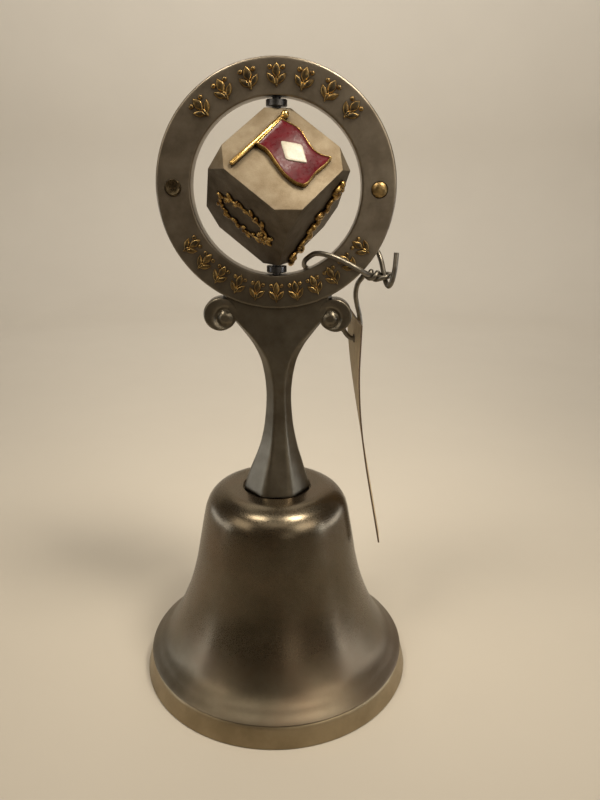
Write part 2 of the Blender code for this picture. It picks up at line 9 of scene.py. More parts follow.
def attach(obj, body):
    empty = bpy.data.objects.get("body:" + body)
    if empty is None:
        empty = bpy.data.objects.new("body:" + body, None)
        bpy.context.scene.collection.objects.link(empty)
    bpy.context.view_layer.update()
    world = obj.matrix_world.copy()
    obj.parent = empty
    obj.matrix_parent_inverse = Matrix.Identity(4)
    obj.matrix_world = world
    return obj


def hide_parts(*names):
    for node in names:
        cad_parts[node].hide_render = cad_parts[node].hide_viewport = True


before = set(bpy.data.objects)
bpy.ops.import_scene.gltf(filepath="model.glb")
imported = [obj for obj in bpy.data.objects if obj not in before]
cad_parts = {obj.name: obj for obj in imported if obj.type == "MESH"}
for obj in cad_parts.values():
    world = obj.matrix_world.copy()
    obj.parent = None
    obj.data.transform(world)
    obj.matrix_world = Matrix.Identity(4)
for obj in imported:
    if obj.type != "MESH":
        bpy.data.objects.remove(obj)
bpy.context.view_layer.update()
scene = bpy.context.scene
MM = 0.001


# ---- Bell ----
# The bell is cast in brass and turned on a lathe: a flat crown with a round seat for the handle,
# a long flared skirt, and a plain band at the lip under a scored line. It is blasted with fine
# grit and has a satin antique finish, warmer on the lip where cloths have rubbed it.

CROWN_Z = 43.8
SEAT_RADIUS = 7.38
SEAT_FLOOR_Z = 43.2
CROWN_UNDERSIDE_Z = 41.6
BOLT_HOLE_RADIUS = 1.9
BELL_STEPS = 180
WELD_REACH = 0.002
LIP_BAND_Z = 4.6
# Sections are (radius, height) in millimetres.
BELL_OUTSIDE = [(9.0, 43.8), (11.0, 43.75), (12.9, 43.0), (14.3, 41.8), (15.35, 40.0),
    (16.0, 37.5), (17.0, 32.0), (18.1, 26.0), (19.7, 20.0), (22.1, 14.0), (24.8, 9.0),
    (27.0, 6.65), (28.45, 5.35)]
BELL_LIP = [(28.85, 5.0), (28.93, 4.9), (28.92, 4.82), (28.55, 4.62), (28.48, 4.52), (28.54, 4.46),
    (28.72, 4.5), (28.79, 4.44), (29.0, 3.9), (29.35, 2.75), (29.7, 1.4), (29.93, 0.5),
    (30.0, 0.3), (29.9, 0.08), (29.6, 0.0), (28.3, 0.0), (28.05, 0.1), (27.9, 0.35)]
BELL_INSIDE = [(26.0, 4.6), (23.0, 8.9), (20.3, 13.6), (17.9, 19.6), (16.3, 25.6), (15.2, 31.6),
    (14.2, 37.0), (12.8, 39.9), (10.0, 41.5)]


def add_node(tree, kind, inputs=None, **settings):
    """A shader or geometry node. An input given as a socket, or as a node whose first output is
    meant, is linked; any other is set."""
    node = tree.nodes.new(kind)
    for name, value in settings.items():
        setattr(node, name, value)
    for key, value in (inputs or {}).items():
        if isinstance(value, bpy.types.Node):
            value = value.outputs[0]
        if isinstance(value, bpy.types.NodeSocket):
            tree.links.new(value, node.inputs[key])
        else:
            node.inputs[key].default_value = value
    return node


def maths(operation, value, *others):
    """One step of arithmetic on one or two values, of which the first is a socket or node."""
    return add_node(value.id_data, "ShaderNodeMath", dict(enumerate((value, *others))),
        operation=operation).outputs[0]


def new_finish(name, colour, roughness, metallic):
    """A material, its Principled shader, and its Object coordinates in millimetres."""
    material = bpy.data.materials.new(name)
    material.use_nodes = True
    tree = material.node_tree
    shader = tree.nodes["Principled BSDF"]
    shader.inputs["Base Color"].default_value = (*colour, 1.0)
    shader.inputs["Roughness"].default_value = roughness
    shader.inputs["Metallic"].default_value = metallic
    place = add_node(tree, "ShaderNodeVectorMath", {0: add_node(tree,
        "ShaderNodeTexCoord").outputs["Object"], "Scale": 1 / MM}, operation="SCALE").outputs[0]
    return material, shader, place


def cloud(place, scale, detail=3.0, roughness=0.6):
    """A noise whose scale is in patches to the millimetre."""
    return add_node(place.id_data, "ShaderNodeTexNoise",
        {"Vector": place, "Scale": scale, "Detail": detail, "Roughness": roughness}).outputs["Fac"]


def part_of(vector, axis):
    """One of the three numbers of a vector."""
    return add_node(vector.id_data, "ShaderNodeSeparateXYZ", {0: vector}).outputs[axis]


def spread(value, low, high, out_low=0.0, out_high=1.0):
    """A value stretched from one range to another, and held at its ends."""
    return add_node(value.id_data, "ShaderNodeMapRange",
        {0: value, 1: low, 2: high, 3: out_low, 4: out_high}).outputs[0]


def blend_colours(factor, first, second):
    """A mix of two colours, each given as a socket or as red, green and blue."""
    first, second = (
        c if isinstance(c, bpy.types.NodeSocket) else (*c, 1.0) for c in (first, second))
    return add_node(factor.id_data, "ShaderNodeMix", {0: factor, 6: first, 7: second},
        data_type="RGBA").outputs[2]


def mottle(place, scale, detail, low, high, dark, light):
    """Two colours in soft patches, scale of them to the millimetre."""
    return blend_colours(spread(cloud(place, scale, detail), low, high), dark, light)


def feed(shader, name, value):
    """Link a value to one of a shader's inputs."""
    shader.id_data.links.new(value, shader.inputs[name])


def bump(shader, relief, depth):
    """Raise a shader's surface by a relief of values, to a depth in millimetres."""
    feed(shader, "Normal", add_node(shader.id_data, "ShaderNodeBump",
        {"Height": relief, "Strength": 1.0, "Distance": depth * MM}).outputs["Normal"])


def gritty_metal(name, dark, light, smooth, rough, patch, grit, grit_depth):
    """A mottled metal under a fine grit. Patch and grit are to the millimetre; depth is in mm."""
    material, shader, place = new_finish(name, light, rough, 1.0)
    colour = mottle(place, patch, 5.0, 0.36, 0.64, dark, light)
    specks = cloud(place, grit, 2.0, 0.65)
    feed(shader, "Base Color", colour)
    feed(shader, "Roughness", spread(specks, 0.3, 0.7, smooth, rough))
    bump(shader, specks, grit_depth)
    return material, shader, place, colour


def new_recipe(name, inputs):
    """An empty Geometry Nodes tree with inputs by name and kind, and the inputs' sockets."""
    recipe = bpy.data.node_groups.new(name, "GeometryNodeTree")
    for label, kind in (*inputs.items(), ("Metal", "Material")):
        recipe.interface.new_socket(label, in_out="INPUT", socket_type=f"NodeSocket{kind}")
    recipe.interface.new_socket("Piece", in_out="OUTPUT", socket_type="NodeSocketGeometry")
    return recipe, recipe.nodes.new("NodeGroupInput").outputs


def end_recipe(recipe, given, shape):
    """Give a recipe's shape its metal and hand it out."""
    add_node(recipe, "NodeGroupOutput", {"Piece": add_node(recipe, "GeometryNodeSetMaterial",
        {0: shape, "Material": given["Metal"]})})


def settle(piece, sharp_angle=35.0):
    """Turn a piece with modifiers into a plain mesh, smooth up to an angle in degrees."""
    bpy.context.view_layer.update()
    graph = bpy.context.evaluated_depsgraph_get()
    mesh = bpy.data.meshes.new_from_object(piece.evaluated_get(graph), depsgraph=graph)
    piece.modifiers.clear()
    piece.data = mesh
    mesh.shade_smooth()
    mesh.set_sharp_from_angle(angle=math.radians(sharp_angle))
    return piece


def follow_recipe(recipe, name, start, values, sharp_angle=35.0):
    """Run a Geometry Nodes tree on a starting mesh; values are given by the inputs' names."""
    piece = bpy.data.objects.new(name, start)
    scene.collection.objects.link(piece)
    step = piece.modifiers.new("recipe", "NODES")
    step.node_group = recipe
    for item in recipe.interface.items_tree:
        if item.item_type == "SOCKET" and item.name in values:
            step[item.identifier] = values[item.name]
    return settle(piece, sharp_angle)


def smooth_path(points, per_span):
    """Points on a Catmull-Rom curve through the given ones, ends included."""
    rail = [Vector(p) for p in points]
    rail = [2 * rail[0] - rail[1], *rail, 2 * rail[-1] - rail[-2]]
    path = []
    for a, b, c, d in zip(rail, rail[1:], rail[2:], rail[3:]):
        for step in range(per_span):
            t = step / per_span
            path.append(0.5 * (2 * b + (c - a) * t + (2 * a - 5 * b + 4 * c - d) * t * t
                + (3 * b - a - 3 * c + d) * t ** 3))
    path.append(rail[-2])
    return path


def line_mesh(points, closed=False):
    """A mesh of edges through points in millimetres."""
    edges = [(i, i + 1) for i in range(len(points) - 1)]
    if closed:
        edges.append((len(points) - 1, 0))
    mesh = bpy.data.meshes.new("line")
    mesh.from_pydata([Vector(p) * MM for p in points], edges, [])
    return mesh


# The lathe: a sheet with a column of points for every step round the axis is wrapped onto the
# section, and the sheet's two edges are welded.
lathe, given = new_recipe("turn on the lathe", {"Section": "Geometry", "Steps": "Int"})
points = add_node(lathe, "GeometryNodeAttributeDomainSize", {0: given["Section"]})
columns = add_node(lathe, "FunctionNodeIntegerMath", {0: given["Steps"], 1: 1}, operation="ADD")
sheet = add_node(lathe, "GeometryNodeMeshGrid", {"Vertices X": columns, "Vertices Y": points})
index = add_node(lathe, "GeometryNodeInputIndex")
column = add_node(lathe, "FunctionNodeIntegerMath", {0: index, 1: points},
    operation="DIVIDE_FLOOR")
row = add_node(lathe, "FunctionNodeIntegerMath", {0: index, 1: points}, operation="MODULO")
on_section = add_node(lathe, "GeometryNodeSampleIndex", {"Geometry": given["Section"],
    "Value": add_node(lathe, "GeometryNodeInputPosition"), "Index": row}, data_type="FLOAT_VECTOR")
turn = maths("MULTIPLY", maths("DIVIDE", column, given["Steps"]), 2 * math.pi)
turned = add_node(lathe, "ShaderNodeVectorRotate", {"Vector": on_section, "Angle": turn},
    rotation_type="Z_AXIS")
wrapped = add_node(lathe, "GeometryNodeSetPosition", {"Geometry": sheet, "Position": turned})
outward = add_node(lathe, "GeometryNodeFlipFaces", {0: wrapped})
end_recipe(lathe, given,
    add_node(lathe, "GeometryNodeMergeByDistance", {0: outward, "Distance": WELD_REACH * MM}))


def turn_piece(name, section, steps, metal, closed=False, place=None, sharp_angle=35.0):
    """Turn a section of (radius, height) in mm, whose outer side runs from the top down."""
    section = [*section, section[0]] if closed else section
    start = line_mesh([(radius, 0.0, height) for radius, height in section])
    piece = follow_recipe(lathe, name, start, {"Steps": steps, "Metal": metal}, sharp_angle)
    if place is not None:
        piece.data.transform(place)
    return piece


bell_brass, shader, place, colour = gritty_metal("satin antique brass", (0.125, 0.101, 0.068),
    (0.168, 0.139, 0.098), 0.22, 0.33, 0.10, 5.0, 0.007)
colour = blend_colours(spread(cloud(place, 0.055, 5.0), 0.44, 0.66, 0.0, 0.7), colour,
    (0.165, 0.117, 0.077))
height = part_of(place, "Z")
rubbed = spread(height, LIP_BAND_Z - 0.2, LIP_BAND_Z + 0.2, 1.0, 0.0)
lip_colour = mottle(place, 0.09, 4.0, 0.38, 0.62, (0.248, 0.193, 0.116), (0.33, 0.262, 0.165))
feed(shader, "Base Color", blend_colours(rubbed, colour, lip_colour))
grain = shader.inputs["Roughness"].links[0].from_socket
scuffed = spread(height, 16.0, 7.0, 0.0, 0.14)
feed(shader, "Roughness", maths("ADD", grain, scuffed))

bell_section = [(BOLT_HOLE_RADIUS, SEAT_FLOOR_Z), (SEAT_RADIUS, SEAT_FLOOR_Z), (SEAT_RADIUS + 0.02,
    CROWN_Z - 0.1), (SEAT_RADIUS + 0.12, CROWN_Z), *smooth_path(BELL_OUTSIDE, 8), *BELL_LIP,
    *smooth_path(BELL_INSIDE, 5), (BOLT_HOLE_RADIUS, CROWN_UNDERSIDE_Z)]
bell = turn_piece("turned_bell", bell_section, BELL_STEPS, bell_brass, closed=True, sharp_angle=40)
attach(bell, "bell")
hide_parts("bell_body")


# ---- Handle casting ----
# The handle is one pewter casting: a six-sided stem that flares under a flat ring, with a scroll
# on each side. Its face is tumbled smooth, its recesses are darkened as patina and as painted
# shade, and its foot sits in the bell.

FOOT_Z = 43.5
# Half width of the stem across its corners, half its depth, and its height.
STEM = [(7.20, 6.20, 43.5), (6.45, 5.55, 46.0), (5.42, 4.70, 49.1), (4.28, 3.70, 52.4),
    (3.48, 3.03, 55.6), (2.94, 2.60, 59.0), (2.61, 2.32, 63.5), (2.74, 2.30, 67.0),
    (3.17, 2.20, 70.0), (3.88, 2.10, 72.7), (5.34, 1.95, 75.6), (7.10, 1.75, 78.0),
    (8.80, 1.62, 80.2), (10.6, 1.55, 83.0), (10.9, 1.50, 86.0), (9.40, 1.45, 87.5)]
FACET_SHARE = 0.43  # width of the front facet as a share of the stem's, up to the flare
FLARE_FACET_SHARE = 0.93
FLARE_Z = (66.0, 82.0)
CORNER_SOFTNESS = 0.15
CORNER_RUN = 0.4  # flat run beside each soft corner, as a share of its cut
FOOT_ROUNDING = 0.45  # how far the foot's section goes from a hexagon towards an ellipse
FOOT_ROUND_Z = (44.0, 52.0)
# The stem is turned a little to the right and leans to it between the foot and the ring.
STEM_TURN = math.radians(4.3)
STEM_LEAN = 0.42
TURN_Z = (60.0, 76.0)
LEAN_START_Z = (43.0, 56.0)
LEAN_END_Z = (76.0, 92.0)
RING_Z = 106.0
RING_OUTER = 22.9
RING_INNER = 16.3
RING_MIDDLE = (RING_OUTER + RING_INNER) / 2
RING_HALF = 2.2
RING_STEPS = 160
OUTER_SOFT, INNER_SOFT = 0.45, 0.3  # rounding of the ring's two edges
SCROLL_X = {-1: -11.35, 1: 11.85}
SCROLL_Z = 81.75
SCROLL_RADIUS = 3.35
SCROLL_RIM_SOFT = 0.5
SCROLL_HALF = (1.62, 2.1)  # half thickness at its inner side, flush with the flare, and outer
SCROLL_RISE_X = (-2.6, 0.8)
SCROLL_EYE = Vector((-1.05, -0.7))
EYE_RISE = 0.34
GROOVE_DEPTH = 0.42
GROOVE_RADIUS = 1.75
GROOVE_WIDTH = 0.45
SCROLL_DISH = 0.15
DISH_REACH, EYE_REACH = (1.6, 3.2), (0.55, 1.65)  # where they start to fade and end
GROOVE_HEADING = Vector((0.91, 0.41))  # where the groove round the eye is deepest
SCROLL_FREE_SIDE = Vector((0.94, -0.34))  # the side away from flare and ring, with a round rim
AXLE_RADIUS = 0.8
RING_FLAT = (RING_INNER + 0.5, RING_OUTER - 0.7)
AXLE_TOP = RING_Z + RING_OUTER - 0.25
AXLE_BOTTOM = RING_Z - RING_INNER - 3.6
BOLT_TOP_Z = 54.0
RIVET_SHANK = 0.7
RIVET_HEAD = 1.58
RIVET_SEAT_Y = 1.65
RIVET_REACH = 5.0  # how far the cutters for the rivets go to each side
GAP = 0.3
OVERCUT = 2.0  # how far a cutter goes past the surface it starts from


def skin(rows):
    """A bmesh through rows of points that each run round the shape, low row first."""
    work = bmesh.new()
    rings = [[work.verts.new(Vector(point) * MM) for point in row] for row in rows]
    count = len(rings[0])
    for low, high in zip(rings, rings[1:]):
        for k in range(count):
            work.faces.new((low[k], low[(k + 1) % count], high[(k + 1) % count], high[k]))
    work.faces.new(list(reversed(rings[0])))
    work.faces.new(rings[-1])
    return work


def plain_mesh(name, work):
    """A finished bmesh as a mesh with no object."""
    mesh = bpy.data.meshes.new(name)
    work.to_mesh(mesh)
    work.free()
    return mesh


def as_piece(name, work, material, place=None, sharp_angle=35.0):
    """A finished bmesh as a piece."""
    mesh = plain_mesh(name, work)
    if place is not None:
        mesh.transform(place)
    mesh.materials.append(material)
    mesh.shade_smooth()
    mesh.set_sharp_from_angle(angle=math.radians(sharp_angle))
    piece = bpy.data.objects.new(name, mesh)
    scene.collection.objects.link(piece)
    return piece


def combine(piece, tool, operation, sharp_angle=35.0):
    """Join a tool to a piece or cut the piece with it; the tool is used up."""
    step = piece.modifiers.new(operation, "BOOLEAN")
    step.operation = operation
    step.solver = "EXACT"
    step.object = tool
    settle(piece, sharp_angle)
    bpy.data.objects.remove(tool, do_unlink=True)


def bar(radius, low, high, material, place=None, steps=32):
    """A plain round bar on Z."""
    section = [(0.0, high), (radius, high), (radius, low), (0.0, low)]
    return turn_piece("bar", section, steps, material, place=place)


def bore(piece, radius, low, high, place=None, sharp_angle=35.0, steps=32):
    """Cut a piece with a round bar in its own material, so the cut faces keep their finish."""
    cutter = bar(radius, low, high, piece.data.materials[-1], place, steps)
    combine(piece, cutter, "DIFFERENCE", sharp_angle)


def moved(x, y, z=0.0):
    """A move in millimetres."""
    return Matrix.Translation((x * MM, y * MM, z * MM))


def facing_front(x, z):
    """A place whose own Z axis points to the front, at x and z in millimetres."""
    return moved(x, 0.0, z) @ Matrix.Rotation(math.pi / 2, 4, "X")


def both_sides(front):
    """A section from its front half; the back half is the same, turned over."""
    return front + [(radius, -height) for radius, height in reversed(front)]


def between(value, low, high):
    """How far a value has gone from low to high, held and eased at both ends."""
    share = min(1.0, max(0.0, (value - low) / (high - low)))
    return share * share * (3 - 2 * share)


def on_circle(radius, turn):
    """A flat point at a radius and an angle."""
    return Vector((radius * math.cos(turn), radius * math.sin(turn)))


def darken_recesses(shader, colour, reach, low, high, most, dark):
    """Darken a colour where walls stand within a reach in mm, and give it to the shader. The
    darkening is patina in hollows and painted shade in creases and between parts.
    """
    daylight = add_node(shader.id_data, "ShaderNodeAmbientOcclusion", {"Distance": reach * MM},
        samples=6).outputs["AO"]
    feed(shader, "Base Color", blend_colours(spread(daylight, low, high, most, 0.0), colour, dark))


def stem_section(half_width, half_depth, z):
    """One slice of the stem: a hexagon with softened corners and flat facets, turned a little."""
    share = FACET_SHARE + (FLARE_FACET_SHARE - FACET_SHARE) * between(z, *FLARE_Z)
    corners = [Vector(c) for c in ((half_width, 0), (half_width * share, half_depth),
        (-half_width * share, half_depth), (-half_width, 0), (-half_width * share, -half_depth),
        (half_width * share, -half_depth))]
    points = []
    for k, corner in enumerate(corners):
        before, after = corners[k - 1], corners[(k + 1) % 6]
        cut = CORNER_SOFTNESS * min((corner - before).length, (after - corner).length)
        into = corner + (before - corner).normalized() * cut
        out = corner + (after - corner).normalized() * cut
        points.append(into + (before - corner).normalized() * cut * CORNER_RUN)
        for step in range(5):
            t = step / 4
            points.append(into * (1 - t) ** 2 + corner * 2 * t * (1 - t) + out * t * t)
        points.append(out + (after - corner).normalized() * cut * CORNER_RUN)
    turn = STEM_TURN * (1 - between(z, *TURN_Z))
    points = [Vector((p.x * math.cos(turn) - p.y * math.sin(turn),
        p.x * math.sin(turn) + p.y * math.cos(turn))) for p in points]
    rounding = FOOT_ROUNDING * (1 - between(z, *FOOT_ROUND_Z))
    for k, p in enumerate(points):
        scale = 1 / math.hypot(p.x / half_width, p.y / half_depth)
        points[k] = p.lerp(p * scale, rounding)
    widen = half_width / max(p.x for p in points)
    lean = STEM_LEAN * between(z, *LEAN_START_Z) * (1 - between(z, *LEAN_END_Z))
    return [(p.x * widen + lean, p.y, z) for p in points]


def scroll_height(point):
    """Height of the scroll's face above its middle plane: it rises from the flare, and curls
    round a soft eye with a groove that fades towards the flare."""
    height = SCROLL_HALF[0] + (SCROLL_HALF[1] - SCROLL_HALF[0]) * between(point.x, *SCROLL_RISE_X)
    offset = point - SCROLL_EYE
    reach = offset.length
    heading = offset.dot(GROOVE_HEADING) / max(reach, 0.01)
    groove = GROOVE_DEPTH * (0.62 + 0.38 * heading)
    height -= groove * math.exp(-((reach - GROOVE_RADIUS) / GROOVE_WIDTH) ** 2)
    height -= SCROLL_DISH * (1 - between(reach, *DISH_REACH))
    return height + EYE_RISE * (1 - between(reach, *EYE_REACH))


def scroll_mesh(side, steps=108, rings=34):
    """One scroll, lying in its own XY plane, as rings from the front's centre to the back's."""
    work = bmesh.new()
    faces = []
    for face in (1, -1):
        centre = work.verts.new((0, 0, face * scroll_height(Vector((0, 0))) * MM))
        loops = []
        for ring in range(1, rings + 1):
            radius = SCROLL_RADIUS * ring / rings
            edge = max(0.0, radius - SCROLL_RADIUS + SCROLL_RIM_SOFT) / SCROLL_RIM_SOFT
            loop = []
            for step in range(steps):
                point = on_circle(radius, 2 * math.pi * step / steps)
                free = between(point.dot(SCROLL_FREE_SIDE) / SCROLL_RADIUS, -0.7, 0.1)
                rounding = free * SCROLL_RIM_SOFT * (1 - math.sqrt(max(0.0, 1 - edge * edge)))
                height = scroll_height(point) - rounding
                loop.append(
                    work.verts.new((side * point.x * MM, point.y * MM, face * height * MM)))
            loops.append(loop)
        for k in range(steps):
            faces.append((centre, loops[0][k], loops[0][(k + 1) % steps]))
            faces += [(low[k], high[k], high[(k + 1) % steps], low[(k + 1) % steps])
                for low, high in zip(loops, loops[1:])]
        if face == 1:
            front = loops[-1]
    faces += [
        (front[k], loop[k], loop[(k + 1) % steps], front[(k + 1) % steps]) for k in range(steps)]
    for corners in faces:
        work.faces.new(corners)
    bmesh.ops.recalc_face_normals(work, faces=work.faces)
    return work


handle_pewter, shader, place, colour = gritty_metal("dark tumbled pewter", (0.122, 0.103, 0.076),
    (0.172, 0.148, 0.111), 0.30, 0.44, 0.22, 3.6, 0.006)
# The ring is painted brighter than the stem, as painted light.
height = part_of(place, "Z")
colour = blend_colours(spread(height, 84.0, 96.0), colour,
    mottle(place, 0.22, 4.0, 0.36, 0.64, (0.225, 0.186, 0.140), (0.325, 0.276, 0.214)))
# Painted shade and patina in the recesses, and painted shade under the ring's edge where it stands
# proud of the flare.
darken_recesses(shader, colour, 1.4, 0.45, 0.95, 0.62, (0.035, 0.028, 0.020))

arc = [(1 - math.sin(k * math.pi / 8), 1 - math.cos(k * math.pi / 8)) for k in range(5)]
outer_front = [(RING_OUTER - OUTER_SOFT * a, RING_HALF - OUTER_SOFT * b) for a, b in arc]
inner_front = [(RING_INNER + INNER_SOFT * a, RING_HALF - INNER_SOFT * b) for a, b in arc]
ring_front = [*reversed(inner_front), *((radius, RING_HALF) for radius in RING_FLAT), *outer_front]
handle = turn_piece("cast_handle", both_sides(ring_front), RING_STEPS, handle_pewter, closed=True,
    place=facing_front(0, RING_Z))
stem_rows = [stem_section(*station) for station in smooth_path(STEM, 4)]
combine(handle, as_piece("stem", skin(stem_rows), handle_pewter), "UNION")
for side in (-1, 1):
    scroll = as_piece("scroll", scroll_mesh(side), handle_pewter,
        facing_front(SCROLL_X[side], SCROLL_Z))
    combine(handle, scroll, "UNION")
bore(handle, BOLT_HOLE_RADIUS, FOOT_Z - OVERCUT, BOLT_TOP_Z + GAP)
bore(handle, AXLE_RADIUS + GAP, AXLE_BOTTOM - GAP, RING_Z + RING_OUTER + OVERCUT)
for side in (-1, 1):
    rivet_place = facing_front(side * RING_MIDDLE, RING_Z)
    bore(handle, RIVET_SHANK + GAP, -RIVET_REACH, RIVET_REACH, rivet_place)
    for low, high in ((RIVET_SEAT_Y, RIVET_REACH), (-RIVET_REACH, -RIVET_SEAT_Y)):
        bore(handle, RIVET_HEAD + 0.03, low, high, rivet_place)
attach(handle, "bell")
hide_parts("handle")


# ---- Ornaments on the ring ----
# Little leafy sprigs stand in relief round both faces of the ring, seven above and eleven below,
# all upright. They are cast with it and gilded, and their flat tops are painted dark as a
# reflection.

SPRIG_HEIGHT = 0.42
SPRIG_SINK = 0.08
SPRIG_RADIUS = 19.65
# Leaves as start, end and half width; berries as centre and radius, in millimetres.
SPRIG_LEAVES = [((0.0, -2.1), (0.0, -0.1), 0.34), ((0.0, -0.6), (0.0, 2.15), 0.70),
    ((0.0, -1.6), (1.58, 0.4), 0.53), ((0.0, -1.6), (-1.58, 0.4), 0.53)]
SPRIG_BERRIES = [((1.06, 1.35), 0.41), ((-1.06, 1.35), 0.41)]


def leaf_outline(start, end, half_width, inset=0.0, steps=8):
    """A lens from start to end as flat points, drawn in by an inset."""
    a, b = Vector(start), Vector(end)
    along = (b - a).normalized()
    a, b = a + along * inset * 1.6, b - along * inset * 1.6
    side = Vector((-along.y, along.x)) * (half_width - inset)
    there = [(a.lerp(b, k / steps), math.sin(math.pi * k / steps)) for k in range(steps + 1)]
    return ([point - side * swell for point, swell in there[:-1]]
        + [point + side * swell for point, swell in reversed(there)][:-1])


def round_outline(centre, radius, inset=0.0, steps=12):
    """A circle as flat points, drawn in by an inset."""
    return [
        Vector(centre) + on_circle(radius - inset, 2 * math.pi * k / steps) for k in range(steps)]


def band(work, low, high):
    """Faces between two rows of corners that run round a shape."""
    for k in range(len(low)):
        work.faces.new((low[k - 1], low[k], high[k], high[k - 1]))


def raise_shape(work, outline, levels):
    """Add a raised shape to a bmesh; levels are (inset, height), and outline takes an inset."""
    below = None
    for inset, height in levels:
        ring = [work.verts.new((p.x * MM, p.y * MM, height * MM)) for p in outline(inset)]
        if below:
            band(work, below, ring)
        else:
            work.faces.new(list(reversed(ring)))
        below = ring
    work.faces.new(below)


def join_shapes(pieces):
    """One bmesh of several pieces, which are used up."""
    work = bmesh.new()
    for piece in pieces:
        work.from_mesh(piece.data)
        bpy.data.objects.remove(piece, do_unlink=True)
    return work


sprig = bmesh.new()
sprig_levels = [(0.0, -SPRIG_SINK), (0.03, 0.5 * SPRIG_HEIGHT), (0.11, 0.88 * SPRIG_HEIGHT),
    (0.19, SPRIG_HEIGHT)]
for start, end, half_width in SPRIG_LEAVES:
    raise_shape(sprig, lambda inset, s=start, e=end, w=half_width: leaf_outline(s, e, w, inset),
        sprig_levels)
for centre, radius in SPRIG_BERRIES:
    raise_shape(sprig, lambda inset, c=centre, r=radius: round_outline(c, r, inset), sprig_levels)
sprig_mesh = plain_mesh("sprig", sprig)

# Copies of a shape at even angles round a circle, each with its own Y axis turned to the rim.
arc_row, given = new_recipe("copies round an arc",
    {"Shape": "Geometry", "Count": "Int", "Radius": "Float", "First Angle": "Float",
    "Last Angle": "Float", "Tip Turn": "Float", "Width": "Float"})
angle = spread(add_node(arc_row, "GeometryNodeInputIndex"), 0.0,
    maths("SUBTRACT", given["Count"], 1.0), given["First Angle"], given["Last Angle"])
spot = add_node(arc_row, "ShaderNodeVectorRotate", {"Vector": add_node(arc_row,
    "ShaderNodeCombineXYZ", {"X": given["Radius"]}), "Angle": angle}, rotation_type="Z_AXIS")
spots = add_node(arc_row, "GeometryNodeSetPosition", {"Geometry": add_node(arc_row,
    "GeometryNodeMeshLine", {"Count": given["Count"]}), "Position": spot})
tip = maths("ADD", angle, given["Tip Turn"])
copies = add_node(arc_row, "GeometryNodeInstanceOnPoints", {"Points": spots,
    "Instance": given["Shape"], "Rotation": add_node(arc_row, "ShaderNodeCombineXYZ", {"Z": tip}),
    "Scale": add_node(arc_row, "ShaderNodeCombineXYZ", {"X": given["Width"], "Y": 1.0, "Z": 1.0})})
end_recipe(arc_row, given, add_node(arc_row, "GeometryNodeRealizeInstances", {0: copies}))


def round_row(name, shape, metal, count, radius, first, last, tip_turn=0.0, width=1.0):
    """Copies of a mesh round an arc; its radius is in millimetres and its angles in degrees."""
    return follow_recipe(arc_row, name, shape, {"Count": count, "Radius": radius * MM,
        "First Angle": math.radians(first), "Last Angle": math.radians(last),
        "Tip Turn": math.radians(tip_turn), "Width": width, "Metal": metal})


def facing(shader):
    """The way the surface faces, in the piece's own directions."""
    return add_node(shader.id_data, "ShaderNodeTexCoord").outputs["Normal"]


gilt_with_painted_dark_tops, shader, place, colour = gritty_metal("gilding with painted dark tops", (0.24, 0.140, 0.043),
    (0.60, 0.40, 0.14), 0.28, 0.42, 0.9, 5.0, 0.006)
# The flat tops that face front and back are painted dark in patches: a painted dark reflection.
top = maths("ABSOLUTE", part_of(facing(shader), "Y"))
painted_dark_tops = maths("MULTIPLY", spread(top, 0.72, 0.95),
    spread(cloud(place, 0.7, 3.0), 0.34, 0.60, 0.45, 1.0))
feed(shader, "Base Color", blend_colours(painted_dark_tops, colour, (0.085, 0.068, 0.045)))

# Each row as its count, its first and last angle, the turn of its tips, and its width.
ORNAMENT_ROWS = [(7, 134.4, 45.4, -90.0, 1.12), (11, 213.0, 327.0, 90.0, 0.96)]
for face, half_turn in (("front", 0.0), ("back", math.pi)):
    halves = [round_row("half", sprig_mesh, gilt_with_painted_dark_tops, count, SPRIG_RADIUS, *rest)
        for count, *rest in ORNAMENT_ROWS]
    stand = Matrix.Rotation(half_turn, 4, "Z") @ facing_front(0, RING_Z) @ moved(0, 0, RING_HALF)
    ornaments = as_piece(f"ring_ornaments_{face}", join_shapes(halves), gilt_with_painted_dark_tops, stand)
    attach(ornaments, "bell")


# ---- Rivets on the ring ----
# A rivet goes through each side of the ring. The left one has dished heads, painted dark as a
# reflection; the right one has rough round gilded heads.

RIVET_DISH = [(0.0, 2.22), (0.6, 2.25), (1.0, 2.33), (1.22, 2.42), (1.36, 2.46), (1.48, 2.42),
    (1.56, 2.30), (1.58, 2.1), (1.58, 1.75), (0.65, 1.75)]
RIVET_DOME = [(0.0, 2.75), (0.38, 2.73), (0.76, 2.65), (1.08, 2.52), (1.34, 2.34), (1.5, 2.14),
    (1.58, 1.9), (1.58, 1.75), (0.65, 1.75)]
# The left rivet's heads are painted dark, standing in for a dark reflection on gilding.
rivet_painted_dark = gritty_metal("rivet painted dark as a reflection", (0.075, 0.055, 0.030), (0.15, 0.115, 0.07), 0.24, 0.36,
    0.8, 5.0, 0.004)[0]
gilt_rivet = gritty_metal("gilded rivet", (0.12, 0.080, 0.036), (0.36, 0.245, 0.105), 0.32, 0.5,
    1.0, 1.8, 0.05)[0]
for side, hand, head, metal in ((-1, "left", RIVET_DISH, rivet_painted_dark),
        (1, "right", RIVET_DOME, gilt_rivet)):
    rivet = turn_piece(f"round_rivet_{hand}", both_sides(head), 48, metal,
        place=facing_front(side * RING_MIDDLE, RING_Z))
    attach(rivet, "bell")
    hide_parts(f"ring_rivet_{hand}")


# ---- Bolt, washer and nut ----
# A threaded eye bolt comes up through the crown into the foot of the handle, and a washer and a
# hexagon nut pull bell and handle together. All three are stock plated steel.

